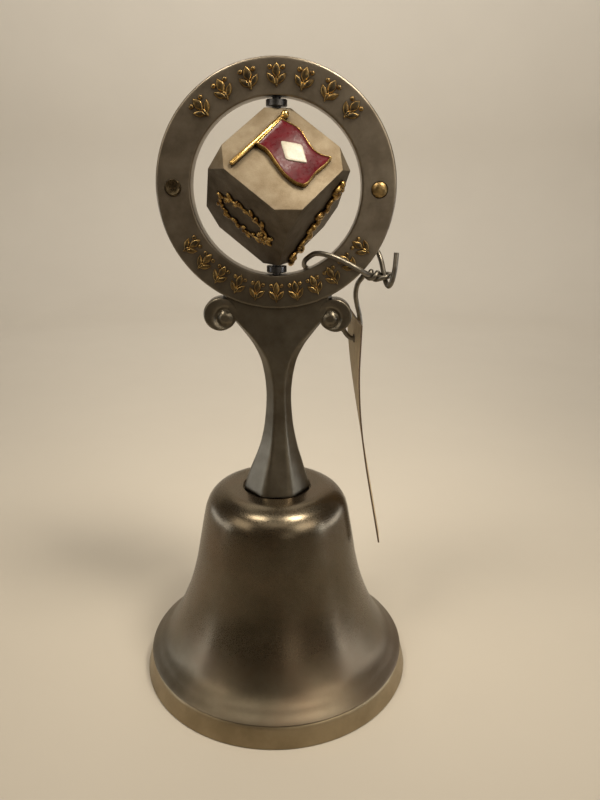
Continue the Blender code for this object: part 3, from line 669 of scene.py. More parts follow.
BOLT_RADIUS = 1.6
THREAD_ROOT = 1.36
THREAD_PITCH = 0.5
THREAD_LOW_Z = 37.2
SHANK_LOW_Z = 36.4
BOLT_EYE_Z = 34.8
EYE_BEND_RADIUS = 2.0
EYE_WIRE = 0.7
WASHER = [(1.9, 41.3), (4.85, 41.3), (5.0, 41.15), (5.0, 40.65), (4.85, 40.5), (1.9, 40.5)]
NUT_TOP_Z = 40.2
NUT_HEIGHT = 2.2
NUT_FLAT_RADIUS = 3.5
NUT_FACE_RADIUS = NUT_FLAT_RADIUS * 0.97
NUT_CORNER_RADIUS = 4.04
NUT_CHAMFER = 0.35
NUT_CUTTER_Z = (30.0, 45.0)
THREAD_HIGH_Z = BOLT_TOP_Z - 0.5


def round_bar(recipe, rail, radius, sides):
    """A recipe's step that puts a round bar along a curve."""
    hoop = add_node(recipe, "GeometryNodeCurvePrimitiveCircle",
        {"Radius": radius, "Resolution": sides})
    return add_node(recipe, "GeometryNodeCurveToMesh",
        {"Curve": rail, "Profile Curve": hoop, "Fill Caps": True})


# A round bar bent along a path; the path is a mesh of edges.
bent_bar, given = new_recipe("bar along a path",
    {"Path": "Geometry", "Radius": "Float", "Sides": "Int"})
rail = add_node(bent_bar, "GeometryNodeMeshToCurve", {0: given["Path"]})
end_recipe(bent_bar, given, round_bar(bent_bar, rail, given["Radius"], given["Sides"]))


def bend_bar(name, path, radius, metal, closed=False, sides=16):
    """A round bar along points in millimetres, with filled ends unless it is closed."""
    return follow_recipe(bent_bar, name, line_mesh(path, closed),
        {"Radius": radius * MM, "Sides": sides, "Metal": metal})


def circle_path(centre_z, radius, steps=48):
    """A circle across the bell's front, at a height, in millimetres."""
    spots = [on_circle(radius, 2 * math.pi * k / steps) for k in range(steps)]
    return [(p.x, 0.0, centre_z + p.y) for p in spots]


plated_steel = gritty_metal("plated steel", (0.33, 0.32, 0.30), (0.50, 0.49, 0.47), 0.24, 0.38,
    0.6, 6.0, 0.003)[0]

washer = turn_piece("steel_washer", WASHER, 64, plated_steel, closed=True)
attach(washer, "bell")
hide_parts("crown_washer")


def nut_row(limit, z, steps=72):
    """A hexagon cut off by a circle, as one slice of the nut."""
    row = []
    for k in range(steps):
        turn = 2 * math.pi * k / steps
        off_flat = (turn + math.pi / 6) % (math.pi / 3) - math.pi / 6
        radius = min(NUT_FLAT_RADIUS / math.cos(off_flat), limit)
        row.append((radius * math.cos(turn), radius * math.sin(turn), z))
    return row


nut_heights = (NUT_TOP_Z - NUT_HEIGHT, NUT_TOP_Z - NUT_HEIGHT + NUT_CHAMFER,
    NUT_TOP_Z - NUT_CHAMFER, NUT_TOP_Z)
nut_limits = (NUT_FACE_RADIUS, NUT_CORNER_RADIUS, NUT_CORNER_RADIUS, NUT_FACE_RADIUS)
nut = as_piece("hexagon_nut", skin([nut_row(*row) for row in zip(nut_limits, nut_heights)]),
    plated_steel, sharp_angle=25)
bore(nut, BOLT_RADIUS + 0.08, *NUT_CUTTER_Z, sharp_angle=25)
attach(nut, "bell")
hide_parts("clamp_nut")

thread = []
for k in range(int((THREAD_HIGH_Z - THREAD_LOW_Z) / THREAD_PITCH)):
    crest_z = THREAD_HIGH_Z - k * THREAD_PITCH
    thread += [(BOLT_RADIUS, crest_z), (THREAD_ROOT, crest_z - THREAD_PITCH / 2)]
bolt_section = [(0.0, BOLT_TOP_Z), (THREAD_ROOT, BOLT_TOP_Z), *thread, (BOLT_RADIUS, THREAD_LOW_Z),
    (BOLT_RADIUS, SHANK_LOW_Z), (0.0, SHANK_LOW_Z)]
bolt = turn_piece("threaded_eye_bolt", bolt_section, 40, plated_steel)
combine(bolt, bend_bar("eye", circle_path(BOLT_EYE_Z, EYE_BEND_RADIUS), EYE_WIRE, plated_steel,
    closed=True), "UNION")
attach(bolt, "bell")
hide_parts("eye_bolt")


# ---- Clapper ----
# An oval wire link hangs on the bolt's eye, and a steel rod with a bent eye hangs on the link.
# A turned steel ball is pressed on the rod's end, and has a small flat where the rod comes out.

LINK_WIRE = 0.6
LINK_HALF_WIDTH = 1.9
LINK_TOP_CENTRE_Z = 32.5
LINK_LOW_CENTRE_Z = 31.4
ROD_EYE_Z = 28.9
ROD_EYE_RADIUS = 2.1
ROD_RADIUS = 0.8
ROD_LOW_Z = 8.3
ROD_HIGH_Z = 27.1
BALL_RADIUS = 4.5
BALL_Z = 7.5
BALL_FLAT_RADIUS = 1.5

link_path = []
for centre, start in ((LINK_TOP_CENTRE_Z, 0.0), (LINK_LOW_CENTRE_Z, math.pi)):
    bend = [on_circle(LINK_HALF_WIDTH, start + math.pi * step / 24) for step in range(25)]
    link_path += [(0.0, p.x, centre + p.y) for p in bend]
link = bend_bar("wire_link", link_path, LINK_WIRE, plated_steel, closed=True)
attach(link, "link")
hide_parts("clapper_link")

rod = bar(ROD_RADIUS, ROD_LOW_Z, ROD_HIGH_Z, plated_steel, steps=28)
rod.name = "clapper_rod_and_eye"
combine(rod, bend_bar("eye", circle_path(ROD_EYE_Z, ROD_EYE_RADIUS), LINK_WIRE, plated_steel,
    closed=True), "UNION")
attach(rod, "clapper")
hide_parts("clapper_rod")

flat_angle = math.asin(BALL_FLAT_RADIUS / BALL_RADIUS)
ball_section = [(0.0, ROD_LOW_Z - 0.05), (ROD_RADIUS + 0.05, ROD_LOW_Z - 0.05),
    (ROD_RADIUS + 0.05, BALL_Z + BALL_RADIUS * math.cos(flat_angle))]
for k in range(32):
    turn = flat_angle + (math.pi - flat_angle) * k / 32
    ball_section.append((BALL_RADIUS * math.sin(turn), BALL_Z + BALL_RADIUS * math.cos(turn)))
ball_section.append((0.0, BALL_Z - BALL_RADIUS))
ball = turn_piece("turned_ball", ball_section, 64, plated_steel)
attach(ball, "clapper")
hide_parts("clapper_ball")


# ---- Axle and bushes ----
# A steel pin goes down through the ring and carries the cube. A blued steel bush on it at each
# end keeps the cube in the middle of the ring.

BUSH_RADIUS = 2.0
BUSH_BORE = 0.85
UPPER_BUSH_Z = (120.56, 121.81)
LOWER_BUSH_Z = (90.15, 91.44)
BUSH_CHAMFER = 0.12

blued_steel = gritty_metal("blued steel", (0.075, 0.072, 0.072), (0.130, 0.126, 0.128), 0.26, 0.40,
    0.9, 5.0, 0.004)[0]
pin_section = [(0.0, AXLE_TOP), (AXLE_RADIUS - 0.15, AXLE_TOP), (AXLE_RADIUS, AXLE_TOP - 0.15),
    (AXLE_RADIUS, AXLE_BOTTOM), (0.0, AXLE_BOTTOM)]
pin = turn_piece("axle_pin", pin_section, 32, blued_steel)
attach(pin, "bell")
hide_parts("cube_axle")
for hand, (low, high) in (("upper", UPPER_BUSH_Z), ("lower", LOWER_BUSH_Z)):
    rim = BUSH_RADIUS - BUSH_CHAMFER
    bush_section = [(BUSH_BORE, high), (rim, high), (BUSH_RADIUS, high - BUSH_CHAMFER),
        (BUSH_RADIUS, low + BUSH_CHAMFER), (rim, low), (BUSH_BORE, low)]
    bush = turn_piece(f"blued_bush_{hand}", bush_section, 56, blued_steel, closed=True)
    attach(bush, "bell")
    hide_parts(f"{hand}_bush")


# ---- Cube ----
# The cube is cast pewter with its corners cut off, and stands on one corner on its axle. Its
# faces are blasted to a pale matte grain; the three lower ones are painted darker as shade, and its
# recesses are darkened as patina and painted shade.

CUBE_SIDE = 18.87
CORNER_CUT = 3.6
EDGE_SOFTNESS = 0.14
CUBE_TURN = math.radians(10.5)
CENTRE = Vector((0, 0, RING_Z)) * MM


def face_place(azimuth_deg, upper):
    """The place of one face of the cube: own X and Y along its edges, own Z outwards."""
    azimuth = math.radians(azimuth_deg) + CUBE_TURN
    rise = 1 if upper else -1
    flat = math.sqrt(2 / 3)
    outward = Vector((flat * math.cos(azimuth), flat * math.sin(azimuth), rise / math.sqrt(3)))
    up = (Vector((0, 0, 1)) - outward * outward.z).normalized()
    right = up.cross(outward)
    place = Matrix(
        ((right - up).normalized(), (right + up).normalized(), outward)).transposed().to_4x4()
    place.translation = CENTRE + outward * (CUBE_SIDE / 2 * MM)
    return place


cube_metal, shader, place, colour = gritty_metal("blasted pewter", (0.200, 0.154, 0.100),
    (0.274, 0.224, 0.158), 0.60, 0.72, 0.25, 5.0, 0.024)
# The faces that look down are painted darker in soft patches: painted shade.
under = spread(part_of(facing(shader), "Z"), -0.05, -0.3, 0.0, 0.9)
painted_underside_shade = mottle(place, 0.3, 4.0, 0.35, 0.65, (0.095, 0.074, 0.051), (0.160, 0.130, 0.094))
darken_recesses(shader, blend_colours(under, colour, painted_underside_shade), 1.0, 0.5, 0.95, 0.6,
    (0.06, 0.045, 0.03))

work = bmesh.new()
bmesh.ops.create_cube(work, size=CUBE_SIDE * MM)
bmesh.ops.bevel(work, geom=work.verts[:], offset=CORNER_CUT * MM, offset_type="OFFSET", segments=1,
    affect="VERTICES")
bmesh.ops.bevel(work, geom=work.edges[:], offset=EDGE_SOFTNESS * MM, offset_type="OFFSET",
    segments=3, profile=0.5, affect="EDGES")
cube_stand = face_place(-90, True)
cube_stand.translation = CENTRE
cube = as_piece("blasted_cube", work, cube_metal, cube_stand, 25)
bore(cube, AXLE_RADIUS + GAP, RING_Z - CUBE_SIDE, RING_Z + CUBE_SIDE, sharp_angle=25)
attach(cube, "cube")
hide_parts("spinner_cube")


# ---- Flag on the front upper face ----
# A waving flag on a round tapered pole is cast in one piece, gilded, and stuck on the face. Its
# rim stands up round a pocket of glossy red enamel with a plain ivory lozenge in it.

# The flag's four edges, in millimetres on the face: X runs along the fly, Y up the pole.
FLAG_TOP = [(-5.45, 5.7), (-3.1, 6.15), (-1.0, 6.25), (1.7, 5.3), (3.6, 4.9), (5.1, 5.15),
    (6.6, 5.85)]
FLAG_BOTTOM = [(-4.95, -1.85), (-2.6, -1.6), (-0.1, -2.3), (2.75, -3.0), (5.2, -3.0), (6.75, -2.3)]
FLAG_FLY = [(6.75, -2.3), (6.9, -1.2), (6.6, 1.3), (6.75, 3.8), (6.6, 5.85)]
FLAG_HOIST = [(-4.95, -1.85), (-5.2, 1.9), (-5.45, 5.7)]
FLAG_SIZE = (11.9, 7.9)
# The waves: how high they are, how long, and how far the first is shifted.
FLAG_SWELL, FLAG_WAVE, FLAG_WAVE_START = 0.11, 9.5, 4.0
# Height of the rim at a distance from the flag's edge.
RIM = [(0.0, 0.86), (0.05, 0.98), (0.11, 1.06), (0.18, 1.08), (0.25, 1.04), (0.30, 0.92),
    (0.33, 0.5)]
ENAMEL_EDGE = 0.29
ENAMEL_MARGINS = [ENAMEL_EDGE, 0.36, 0.46, 0.6, 0.85]
ENAMEL_BASE = 0.42
ENAMEL_LEVEL = 0.80
ENAMEL_CLIMB, ENAMEL_CLIMB_REACH = 0.14, 0.22
POLE_LIFT = 0.55
POLE_LOW = Vector((-5.35, -8.2))
POLE_HIGH = Vector((-5.5, 6.3))
# The pole's radius at a distance from its lower end, then the knob.
POLE = [(0.0, 0.0), (0.22, 0.03), (0.36, 0.12), (0.42, 0.3), (0.46, 4.0), (0.52, 10.0),
    (0.56, 14.2), (0.42, 14.45), (0.50, 14.6), (0.72, 14.95), (0.78, 15.3), (0.66, 15.7),
    (0.36, 16.0), (0.0, 16.08)]


def part_way(path, share):
    """The point at a share of the way along a dense path."""
    spot = share * (len(path) - 1)
    k = min(int(spot), len(path) - 2)
    return path[k].lerp(path[k + 1], spot - k)


flag_edges = [[p.to_2d() for p in smooth_path([(*q, 0) for q in edge], 12)]
    for edge in (FLAG_TOP, FLAG_BOTTOM, FLAG_FLY, FLAG_HOIST)]


def flag_point(u, v):
    """A point of the flag, u from hoist to fly and v from bottom to top, on a smooth patch."""
    top, bottom, fly, hoist = flag_edges
    corners = (bottom[0] * (1 - u) * (1 - v) + bottom[-1] * u * (1 - v) + top[0] * (1 - u) * v
        + top[-1] * u * v)
    return (part_way(bottom, u) * (1 - v) + part_way(top, u) * v + part_way(hoist, v) * (1 - u)
        + part_way(fly, v) * u - corners)


def flag_swell(x):
    """How far the flag's surface swells off the face as it waves."""
    return FLAG_SWELL * math.sin(2 * math.pi * (x + FLAG_WAVE_START) / FLAG_WAVE)


def fill_rows(work, rows):
    """Faces between rows of corners that run side by side."""
    for near, far in zip(rows, rows[1:]):
        for k in range(len(near) - 1):
            work.faces.new((near[k], far[k], far[k + 1], near[k + 1]))


def flag_sheet(margins, height, base):
    """A closed sheet over the flag, with lines at the margins and a height by distance in."""
    lines = []
    for length in FLAG_SIZE:
        near = [m / length for m in margins]
        inner = [near[-1] + (1 - 2 * near[-1]) * k / 30 for k in range(1, 30)]
        lines.append(near + inner + [1 - share for share in reversed(near)])
    work = bmesh.new()
    rows = []
    for u in lines[0]:
        column = []
        for v in lines[1]:
            inward = min(min(u, 1 - u) * FLAG_SIZE[0], min(v, 1 - v) * FLAG_SIZE[1])
            point = flag_point(u, v)
            column.append(work.verts.new(
                (point.x * MM, point.y * MM, (height(inward) + flag_swell(point.x)) * MM)))
        rows.append(column)
    fill_rows(work, rows)
    border = ([row[0] for row in rows] + rows[-1][1:] + [row[-1] for row in reversed(rows)][1:]
        + list(reversed(rows[0]))[1:-1])
    foot = [work.verts.new((vert.co.x, vert.co.y, base * MM)) for vert in border]
    band(work, foot, border)
    work.faces.new(list(reversed(foot)))
    return work


def rim_height(inward):
    """The rim's height at a distance in from the flag's edge, or its pocket's floor."""
    for (near, high), (far, low) in zip(RIM, RIM[1:]):
        if inward <= far + 1e-6:
            return high + (low - high) * (inward - near) / (far - near)
    return RIM[-1][1]


def enamel_height(inward):
    """The enamel's height: it was poured, so it climbs a little up the rim."""
    return ENAMEL_LEVEL + ENAMEL_CLIMB * math.exp((ENAMEL_EDGE - inward) / ENAMEL_CLIMB_REACH)


bright_gilt, shader, place, colour = gritty_metal("bright gilding", (0.40, 0.245, 0.075),
    (0.66, 0.45, 0.16), 0.20, 0.34, 0.8, 5.0, 0.006)
# Painted shade and patina in the recesses round the rim and pole.
darken_recesses(shader, colour, 0.8, 0.4, 0.9, 0.85, (0.045, 0.028, 0.012))

flag_place = face_place(-90, True)
flag = as_piece("flag_rim_and_pole", flag_sheet([d for d, _ in RIM], rim_height, -0.05),
    bright_gilt, flag_place, 50)
run = (POLE_HIGH - POLE_LOW).normalized()
pole_stand = (flag_place @ moved(*POLE_LOW, POLE_LIFT)
    @ Vector((run.x, run.y, 0)).to_track_quat("Z", "Y").to_matrix().to_4x4())
pole_section = [(radius, reach) for radius, reach in reversed(POLE)]
pole = turn_piece("pole", pole_section, 32, bright_gilt, place=pole_stand)
combine(flag, pole, "UNION", 50)
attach(flag, "cube")
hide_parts("flag_frame")


def enamel_finish(name, dark, light, patch, gloss_patch, gloss_detail, smooth, rough):
    """Glassy paint in soft patches of colour and gloss, both to the millimetre."""
    material, shader, place = new_finish(name, light, rough, 0.0)
    feed(shader, "Base Color", mottle(place, patch, 4.0, 0.35, 0.65, dark, light))
    feed(shader, "Roughness",
        spread(cloud(place, gloss_patch, gloss_detail), 0.35, 0.65, smooth, rough))
    return material, shader, place


red_enamel, shader, place = enamel_finish("red enamel", (0.070, 0.0034, 0.0062),
    (0.105, 0.005, 0.0092), 0.5, 1.5, 3.0, 0.24, 0.40)
bump(shader, cloud(place, 0.8, 2.0), 0.05)
shader.inputs["Specular IOR Level"].default_value = 0.22
enamel = as_piece("red_enamel_field", flag_sheet(ENAMEL_MARGINS, enamel_height, ENAMEL_BASE),
    red_enamel, flag_place, 50)
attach(enamel, "cube")
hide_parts("flag_enamel")

LOZENGE_CENTRE = Vector((1.0, 1.7))
LOZENGE_HALF = (3.2, 2.3)
LOZENGE_CORNER = 0.12
LOZENGE_LEVELS = [(0.0, 0.6), (0.0, 0.90), (0.05, 0.97), (0.14, 1.01), (0.5, 1.02)]


def lozenge_outline(inset):
    """A lozenge with softened corners, drawn in by an inset."""
    tips = [Vector(t) for t in ((1, 0), (0, 1), (-1, 0), (0, -1))]
    shrink = inset * math.hypot(*LOZENGE_HALF) / (LOZENGE_HALF[0] * LOZENGE_HALF[1])
    points = []
    for k, tip in enumerate(tips):
        before, after = tips[k - 1], tips[(k + 1) % 4]
        points += [tip.lerp(before, LOZENGE_CORNER), tip.lerp(before.lerp(after, 0.5),
            LOZENGE_CORNER * 0.5), tip.lerp(after, LOZENGE_CORNER)]
    return [LOZENGE_CENTRE + Vector((p.x * LOZENGE_HALF[0], p.y * LOZENGE_HALF[1])) * (1 - shrink)
        for p in points]


ivory_enamel = enamel_finish("ivory enamel", (0.45, 0.40, 0.31), (0.55, 0.50, 0.405), 1.2, 2.5,
    2.0, 0.22, 0.42)[0]
work = bmesh.new()
raise_shape(work, lozenge_outline, LOZENGE_LEVELS)
for vert in work.verts:
    vert.co.z += flag_swell(vert.co.x / MM) * MM
lozenge = as_piece("ivory_lozenge", work, ivory_enamel, flag_place, 40)
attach(lozenge, "cube")
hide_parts("flag_lozenge")


# ---- Wreath and sprig on the lower faces ----
# On the left lower face is a small wreath with a rosette, and on the right one a long leafy
# sprig. Both are cast from twigs, leaves and berries, gilded, and stuck on.

WREATH_CENTRE = (-0.2, 0.1)
WREATH_HALF = (5.9, 3.0)
WREATH_LIFT = 0.28
ROSETTE_CENTRE = (4.95, -0.75)
SPRIG_RISE = 1.2
SPRIG_LIFT = 0.34
KNOT_CENTRE = (-3.3, 6.1)
SPRIG_STEM = [(-4.4, 7.0), (-2.6, 5.4), (-0.6, 3.5), (1.0, 1.4), (2.9, -0.7), (5.0, -2.6),
    (7.4, -5.4)]

# Leaves to both sides and berries in between along a twig, which is a mesh of edges.
twig_row, given = new_recipe("leafy twig",
    {"Twig": "Geometry", "Twig Radius": "Float", "Leaf Length": "Float", "Leaf Spacing": "Float",
    "Berry Radius": "Float", "Berry Spacing": "Float", "Seed": "Int"})
rail = add_node(twig_row, "GeometryNodeMeshToCurve", {0: given["Twig"]})
rows = [round_bar(twig_row, rail, given["Twig Radius"], 8)]
index = add_node(twig_row, "GeometryNodeInputIndex")
side = add_node(twig_row, "FunctionNodeIntegerMath", {0: index, 1: 2}, operation="MODULO")
side = spread(side, 0.0, 1.0, -1.0, 1.0)
# Each kind as its spacing, its lean off the twig, its least and most size, its shape, and length.
TWIG_KINDS = [("Leaf Spacing", 0.75, 0.8, 1.2, (0.5, 0.25, 0.20), "Leaf Length"),
    ("Berry Spacing", 1.6, 0.7, 1.3, (1.0, 1.0, 0.85), "Berry Radius")]
for spacing, lean, least, most, shape, length in TWIG_KINDS:
    spots = add_node(twig_row, "GeometryNodeCurveToPoints",
        {"Curve": rail, "Length": given[spacing]}, mode="LENGTH")
    heading = maths("ARCTAN2", *(part_of(spots.outputs["Tangent"], axis) for axis in "YX"))
    sway, swell = (
        add_node(twig_row, "FunctionNodeRandomValue", {2: low, 3: high, "Seed": given["Seed"]},
        data_type="FLOAT").outputs[1] for low, high in ((lean - 0.2, lean + 0.2), (least, most)))
    turn = maths("ADD", heading, maths("MULTIPLY", sway, side))
    ball = add_node(twig_row, "GeometryNodeMeshIcoSphere", {"Radius": 1.0, "Subdivisions": 2})
    blank = add_node(twig_row, "GeometryNodeTransform", {0: ball, "Translation": (0.9, 0.0, 0.0)})
    size = add_node(twig_row, "ShaderNodeVectorMath", {0: shape, "Scale": given[length]},
        operation="SCALE")
    rows.append(add_node(twig_row, "GeometryNodeInstanceOnPoints", {"Points": spots,
        "Instance": add_node(twig_row, "GeometryNodeTransform", {0: blank, "Scale": size}),
        "Rotation": add_node(twig_row, "ShaderNodeCombineXYZ", {"Z": turn}), "Scale": swell}))
joined = add_node(twig_row, "GeometryNodeJoinGeometry")
for row in rows:
    twig_row.links.new(row.outputs[0], joined.inputs[0])
end_recipe(twig_row, given, add_node(twig_row, "GeometryNodeRealizeInstances", {0: joined}))


def leafy_twig(path, closed, radius, leaf, leaf_spacing, berry, berry_spacing, seed):
    """A twig with leaves and berries along points; all its measures are in millimetres."""
    return follow_recipe(twig_row, "twig", line_mesh(path, closed), {"Twig Radius": radius * MM,
        "Leaf Length": leaf * MM, "Leaf Spacing": leaf_spacing * MM, "Berry Radius": berry * MM,
        "Berry Spacing": berry_spacing * MM, "Seed": seed, "Metal": aged_gilt})


aged_gilt, shader, place, colour = gritty_metal("aged gilding", (0.14, 0.068, 0.020),
    (0.56, 0.36, 0.12), 0.22, 0.40, 0.8, 4.0, 0.010)
# Painted shade and patina in the creases between leaves and berries and against the face.
darken_recesses(shader, colour, 0.7, 0.35, 0.85, 0.9, (0.035, 0.022, 0.010))


def dome(radius, height, steps=12):
    """A round dome on its own XY plane, in millimetres."""
    work = bmesh.new()
    raise_shape(work, lambda inset: round_outline((0, 0), radius, inset, steps),
        [(0.0, -0.05)] + [(radius * (1 - math.cos(turn)), height * math.sin(turn))
        for turn in (0.2, 0.5, 0.85, 1.2)])
    return work


wreath_ring = []
for k in range(60):
    turn = 2 * math.pi * k / 60
    wreath_ring.append((WREATH_CENTRE[0] + WREATH_HALF[0] * math.cos(turn),
        WREATH_CENTRE[1] + WREATH_HALF[1] * math.sin(turn), WREATH_LIFT))
wreath = leafy_twig(wreath_ring, True, radius=0.26, leaf=1.75, leaf_spacing=1.25, berry=0.46,
    berry_spacing=2.3, seed=4)
rosette = round_row("rosette", plain_mesh("dome", dome(0.55, 0.75)), aged_gilt, 6, 0.98, 0, 300,
    width=1.25)
heart = as_piece("heart", dome(0.6, 1.05), aged_gilt)
for piece in (rosette, heart):
    piece.data.transform(moved(*ROSETTE_CENTRE))
wreath = as_piece("leafy_wreath", join_shapes([wreath, rosette, heart]), aged_gilt,
    face_place(-150, False), 60)
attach(wreath, "cube")
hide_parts("relief_wreath")

stem_line = [(x, y, SPRIG_LIFT) for x, y, _ in smooth_path([(*p, 0.0) for p in SPRIG_STEM], 8)]
twigs = leafy_twig(stem_line, False, radius=0.36, leaf=2.8, leaf_spacing=1.5, berry=0.66,
    berry_spacing=2.2, seed=7)
knot = round_row("knot", plain_mesh("dome", dome(0.6, 1.0)), aged_gilt, 5, 0.85, 0, 288, width=1.2)
knot.data.transform(moved(*KNOT_CENTRE))
sprig = as_piece("leafy_sprig", join_shapes([twigs, knot]), aged_gilt,
    face_place(-30, False) @ Matrix.Diagonal((1, 1, SPRIG_RISE, 1)), 60)
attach(sprig, "cube")
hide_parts("relief_sprig")


# ---- Flower, fir and bell on the faces behind ----
# The three other faces carry a gilded flower, a fir tree and a little bell. They are cast and
# stuck on like the others, and are seen when the cube is turned.

RELIEF_LEVELS = [(0.0, -0.05), (0.0, 0.55), (0.08, 0.70), (0.20, 0.80), (0.34, 0.85)]
FIR_HALF = [(0.9, -6.4), (0.9, -4.6), (4.6, -4.6), (4.3, -4.1), (2.5, -1.6), (3.6, -1.6),
    (3.4, -1.1), (1.9, 1.4), (2.6, 1.4), (2.4, 1.9)]
BELL_HALF = [(4.8, -4.6), (4.7, -3.9), (4.0, -2.6), (3.0, -0.6), (2.5, 1.6), (2.0, 3.0),
    (1.0, 3.7)]


def drawn_in(half, tip):
    """An outline function for a shape with two like halves and a tip, drawn in by an inset."""
    outline = [Vector(p) for p in half]
    outline += [Vector(tip)] if tip else []
    outline += [Vector((-x, y)) for x, y in reversed(half)]

    def shrunk(inset):
        points = []
        for k, point in enumerate(outline):
            into = (point - outline[k - 1]).normalized()
            out = (outline[(k + 1) % len(outline)] - point).normalized()
            mitre = Vector((-into.y - out.y, into.x + out.x))
            points.append(point + mitre * (inset / max(0.6, 1 + into.dot(out))))
        return points
    return shrunk


petal = bmesh.new()
raise_shape(petal, lambda inset: leaf_outline((0.0, -2.2), (0.0, 2.2), 1.25, inset),
    [(0.0, -0.05), (0.05, 0.45), (0.3, 0.75), (0.6, 0.85)])
petals = round_row("petals", plain_mesh("petal", petal), aged_gilt, 8, 3.2, 0, 315, -90)
seeds = round_row("seeds", plain_mesh("dome", dome(0.36, 1.0)), aged_gilt, 8, 0.95, 0, 315)
heart = as_piece("heart", dome(0.75, 1.05, 16), aged_gilt)

fir = bmesh.new()
raise_shape(fir, drawn_in(FIR_HALF, (0.0, 6.6)), RELIEF_LEVELS)
little_bell = bmesh.new()
raise_shape(little_bell, drawn_in(BELL_HALF, None), RELIEF_LEVELS)
raise_shape(little_bell, lambda inset: round_outline((0.0, -5.0), 1.0, inset, 16),
    [(0.0, -0.05), (0.0, 0.5), (0.2, 0.75), (0.5, 0.85)])
raise_shape(little_bell, lambda inset: round_outline((0.0, 4.7), 1.25, inset, 16),
    [(0.0, -0.05), (0.0, 0.5), (0.2, 0.7), (0.45, 0.75)])
reliefs = [("gilded_flower", "relief_flower", join_shapes([petals, seeds, heart]), (30, True)),
    ("gilded_fir", "relief_fir", fir, (150, True)),
    ("gilded_bell", "relief_bell", little_bell, (90, False))]
for name, node, work, place in reliefs:
    relief = as_piece(name, work, aged_gilt, face_place(*place), 40)
    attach(relief, "cube")
    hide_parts(node)


# ---- Tie wire ----
# A bright steel wire goes round the ring's band, is twisted on itself, and hangs the label on its
# other end. It is stiff enough to keep the shape it was bent to.

WIRE_RADIUS = 0.51
# From its cut end down into a hook, behind the ring's band, through it and back to the twist.
ROUTE_TO_TWIST = [(23.5, -1.6, 94.3), (23.3, -2.0, 91.4), (22.9, -1.9, 89.0), (22.4, -1.0, 87.7),
    (21.9, 0.2, 88.3), (21.4, 1.0, 90.4), (20.8, 1.9, 92.8), (19.9, 3.2, 94.3), (17.6, 3.6, 94.0),
    (13.6, 3.5, 92.4), (9.6, 3.4, 90.9), (6.7, 3.4, 90.4), (5.6, 3.0, 91.0), (5.5, 1.5, 92.0),
    (6.1, -0.6, 93.0), (7.7, -2.6, 94.1), (10.3, -3.3, 93.8), (13.3, -3.4, 92.6),
    (16.4, -3.3, 91.0)]
# Off the twist, down to the label, through its hole and up behind the scroll to the other end.
ROUTE_TO_LABEL = [(17.1, 0.9, 89.0), (16.4, 2.2, 87.6), (16.2, 3.6, 85.4), (16.6, 4.9, 83.2),
    (17.25, 5.6, 80.8), (17.6, 5.95, 78.3), (17.4, 6.05, 76.3), (16.5, 6.05, 75.5),
    (15.2, 5.9, 75.9), (13.9, 5.4, 77.6), (12.7, 4.7, 79.6), (11.9, 4.3, 82.0)]
# The two strands twist round this line, and the loop at its far end goes round the hook.
TWIST_START = Vector((18.0, -0.7, 90.0))
TWIST_END = Vector((20.0, 0.2, 89.5))
TWIST_RADIUS = 0.68
TWIST_TURNS = 0.75
LOOP_ROUND_HOOK = [(21.0, -0.9, 89.3), (22.4, -0.5, 89.6), (22.9, 0.9, 89.7), (22.2, 2.0, 89.7),
    (21.0, 1.9, 89.5)]


def strand(phase, steps=6):
    """One strand of the twist, from its start to its end."""
    axis = (TWIST_END - TWIST_START).normalized()
    side = axis.cross(Vector((0, 0, 1))).normalized()
    over = side.cross(axis)
    path = []
    for step in range(steps + 1):
        spot = on_circle(TWIST_RADIUS, phase + 2 * math.pi * TWIST_TURNS * step / steps)
        path.append(TWIST_START.lerp(TWIST_END, step / steps) + side * spot.x + over * spot.y)
    return path


bright_wire = gritty_metal("drawn steel wire", (0.15, 0.132, 0.105), (0.23, 0.205, 0.168), 0.36,
    0.46, 0.7, 3.0, 0.002)[0]
wire_route = [*ROUTE_TO_TWIST, *strand(0.0), *LOOP_ROUND_HOOK, *reversed(strand(math.pi)),
    *ROUTE_TO_LABEL]
wire = bend_bar("bent_tie_wire", smooth_path(wire_route, 6), WIRE_RADIUS, bright_wire, sides=18)
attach(wire, "bell")
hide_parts("tie_wire")


# ---- Label ----
# The label is a long strip of brown card with a punched hole, a little twisted; its cut edge is
# painted dark as shade. It is blank.

LABEL_NEAR_EDGE = [(17.5, 1.0, 79.2), (17.45, 1.0, 66.0), (19.0, 1.0, 51.5), (23.2, 1.0, 29.0)]
LABEL_FAR_EDGE = [(15.0, 11.8, 81.8), (16.4, 11.8, 68.5), (19.6, 11.8, 50.5), (24.4, 11.8, 25.6)]
LABEL_THICKNESS = 0.35
LABEL_HOLE = Vector((16.5, 6.05, 75.5))
LABEL_HOLE_RADIUS = 0.95
LABEL_FIBRE = (1.0, 1.0, 0.25)  # how much finer the fibres are across than along
# The way the label's flat side faces.
LABEL_AXIS = Vector((0.984, 0.165, 0.060)).normalized()

brown_card, shader, place = new_finish("brown card", (0.36, 0.27, 0.15), 0.75, 0.0)
fibres = add_node(shader.id_data, "ShaderNodeVectorMath", {0: place, 1: LABEL_FIBRE},
    operation="MULTIPLY")
fibres = cloud(fibres.outputs[0], 2.2, 5.0, 0.7)
face = blend_colours(spread(fibres, 0.34, 0.66), (0.34, 0.25, 0.137), (0.50, 0.38, 0.22))
# Faces turned away from the card's flat side, its cut edge, are painted dark: painted shade.
across = add_node(shader.id_data, "ShaderNodeVectorMath",
    {0: facing(shader), 1: tuple(LABEL_AXIS)}, operation="DOT_PRODUCT").outputs["Value"]
across = spread(maths("ABSOLUTE", across), 0.55, 0.75)
feed(shader, "Base Color", blend_colours(across, (0.075, 0.045, 0.024), face))
feed(shader, "Roughness", spread(fibres, 0.3, 0.7, 0.62, 0.85))
bump(shader, fibres, 0.03)

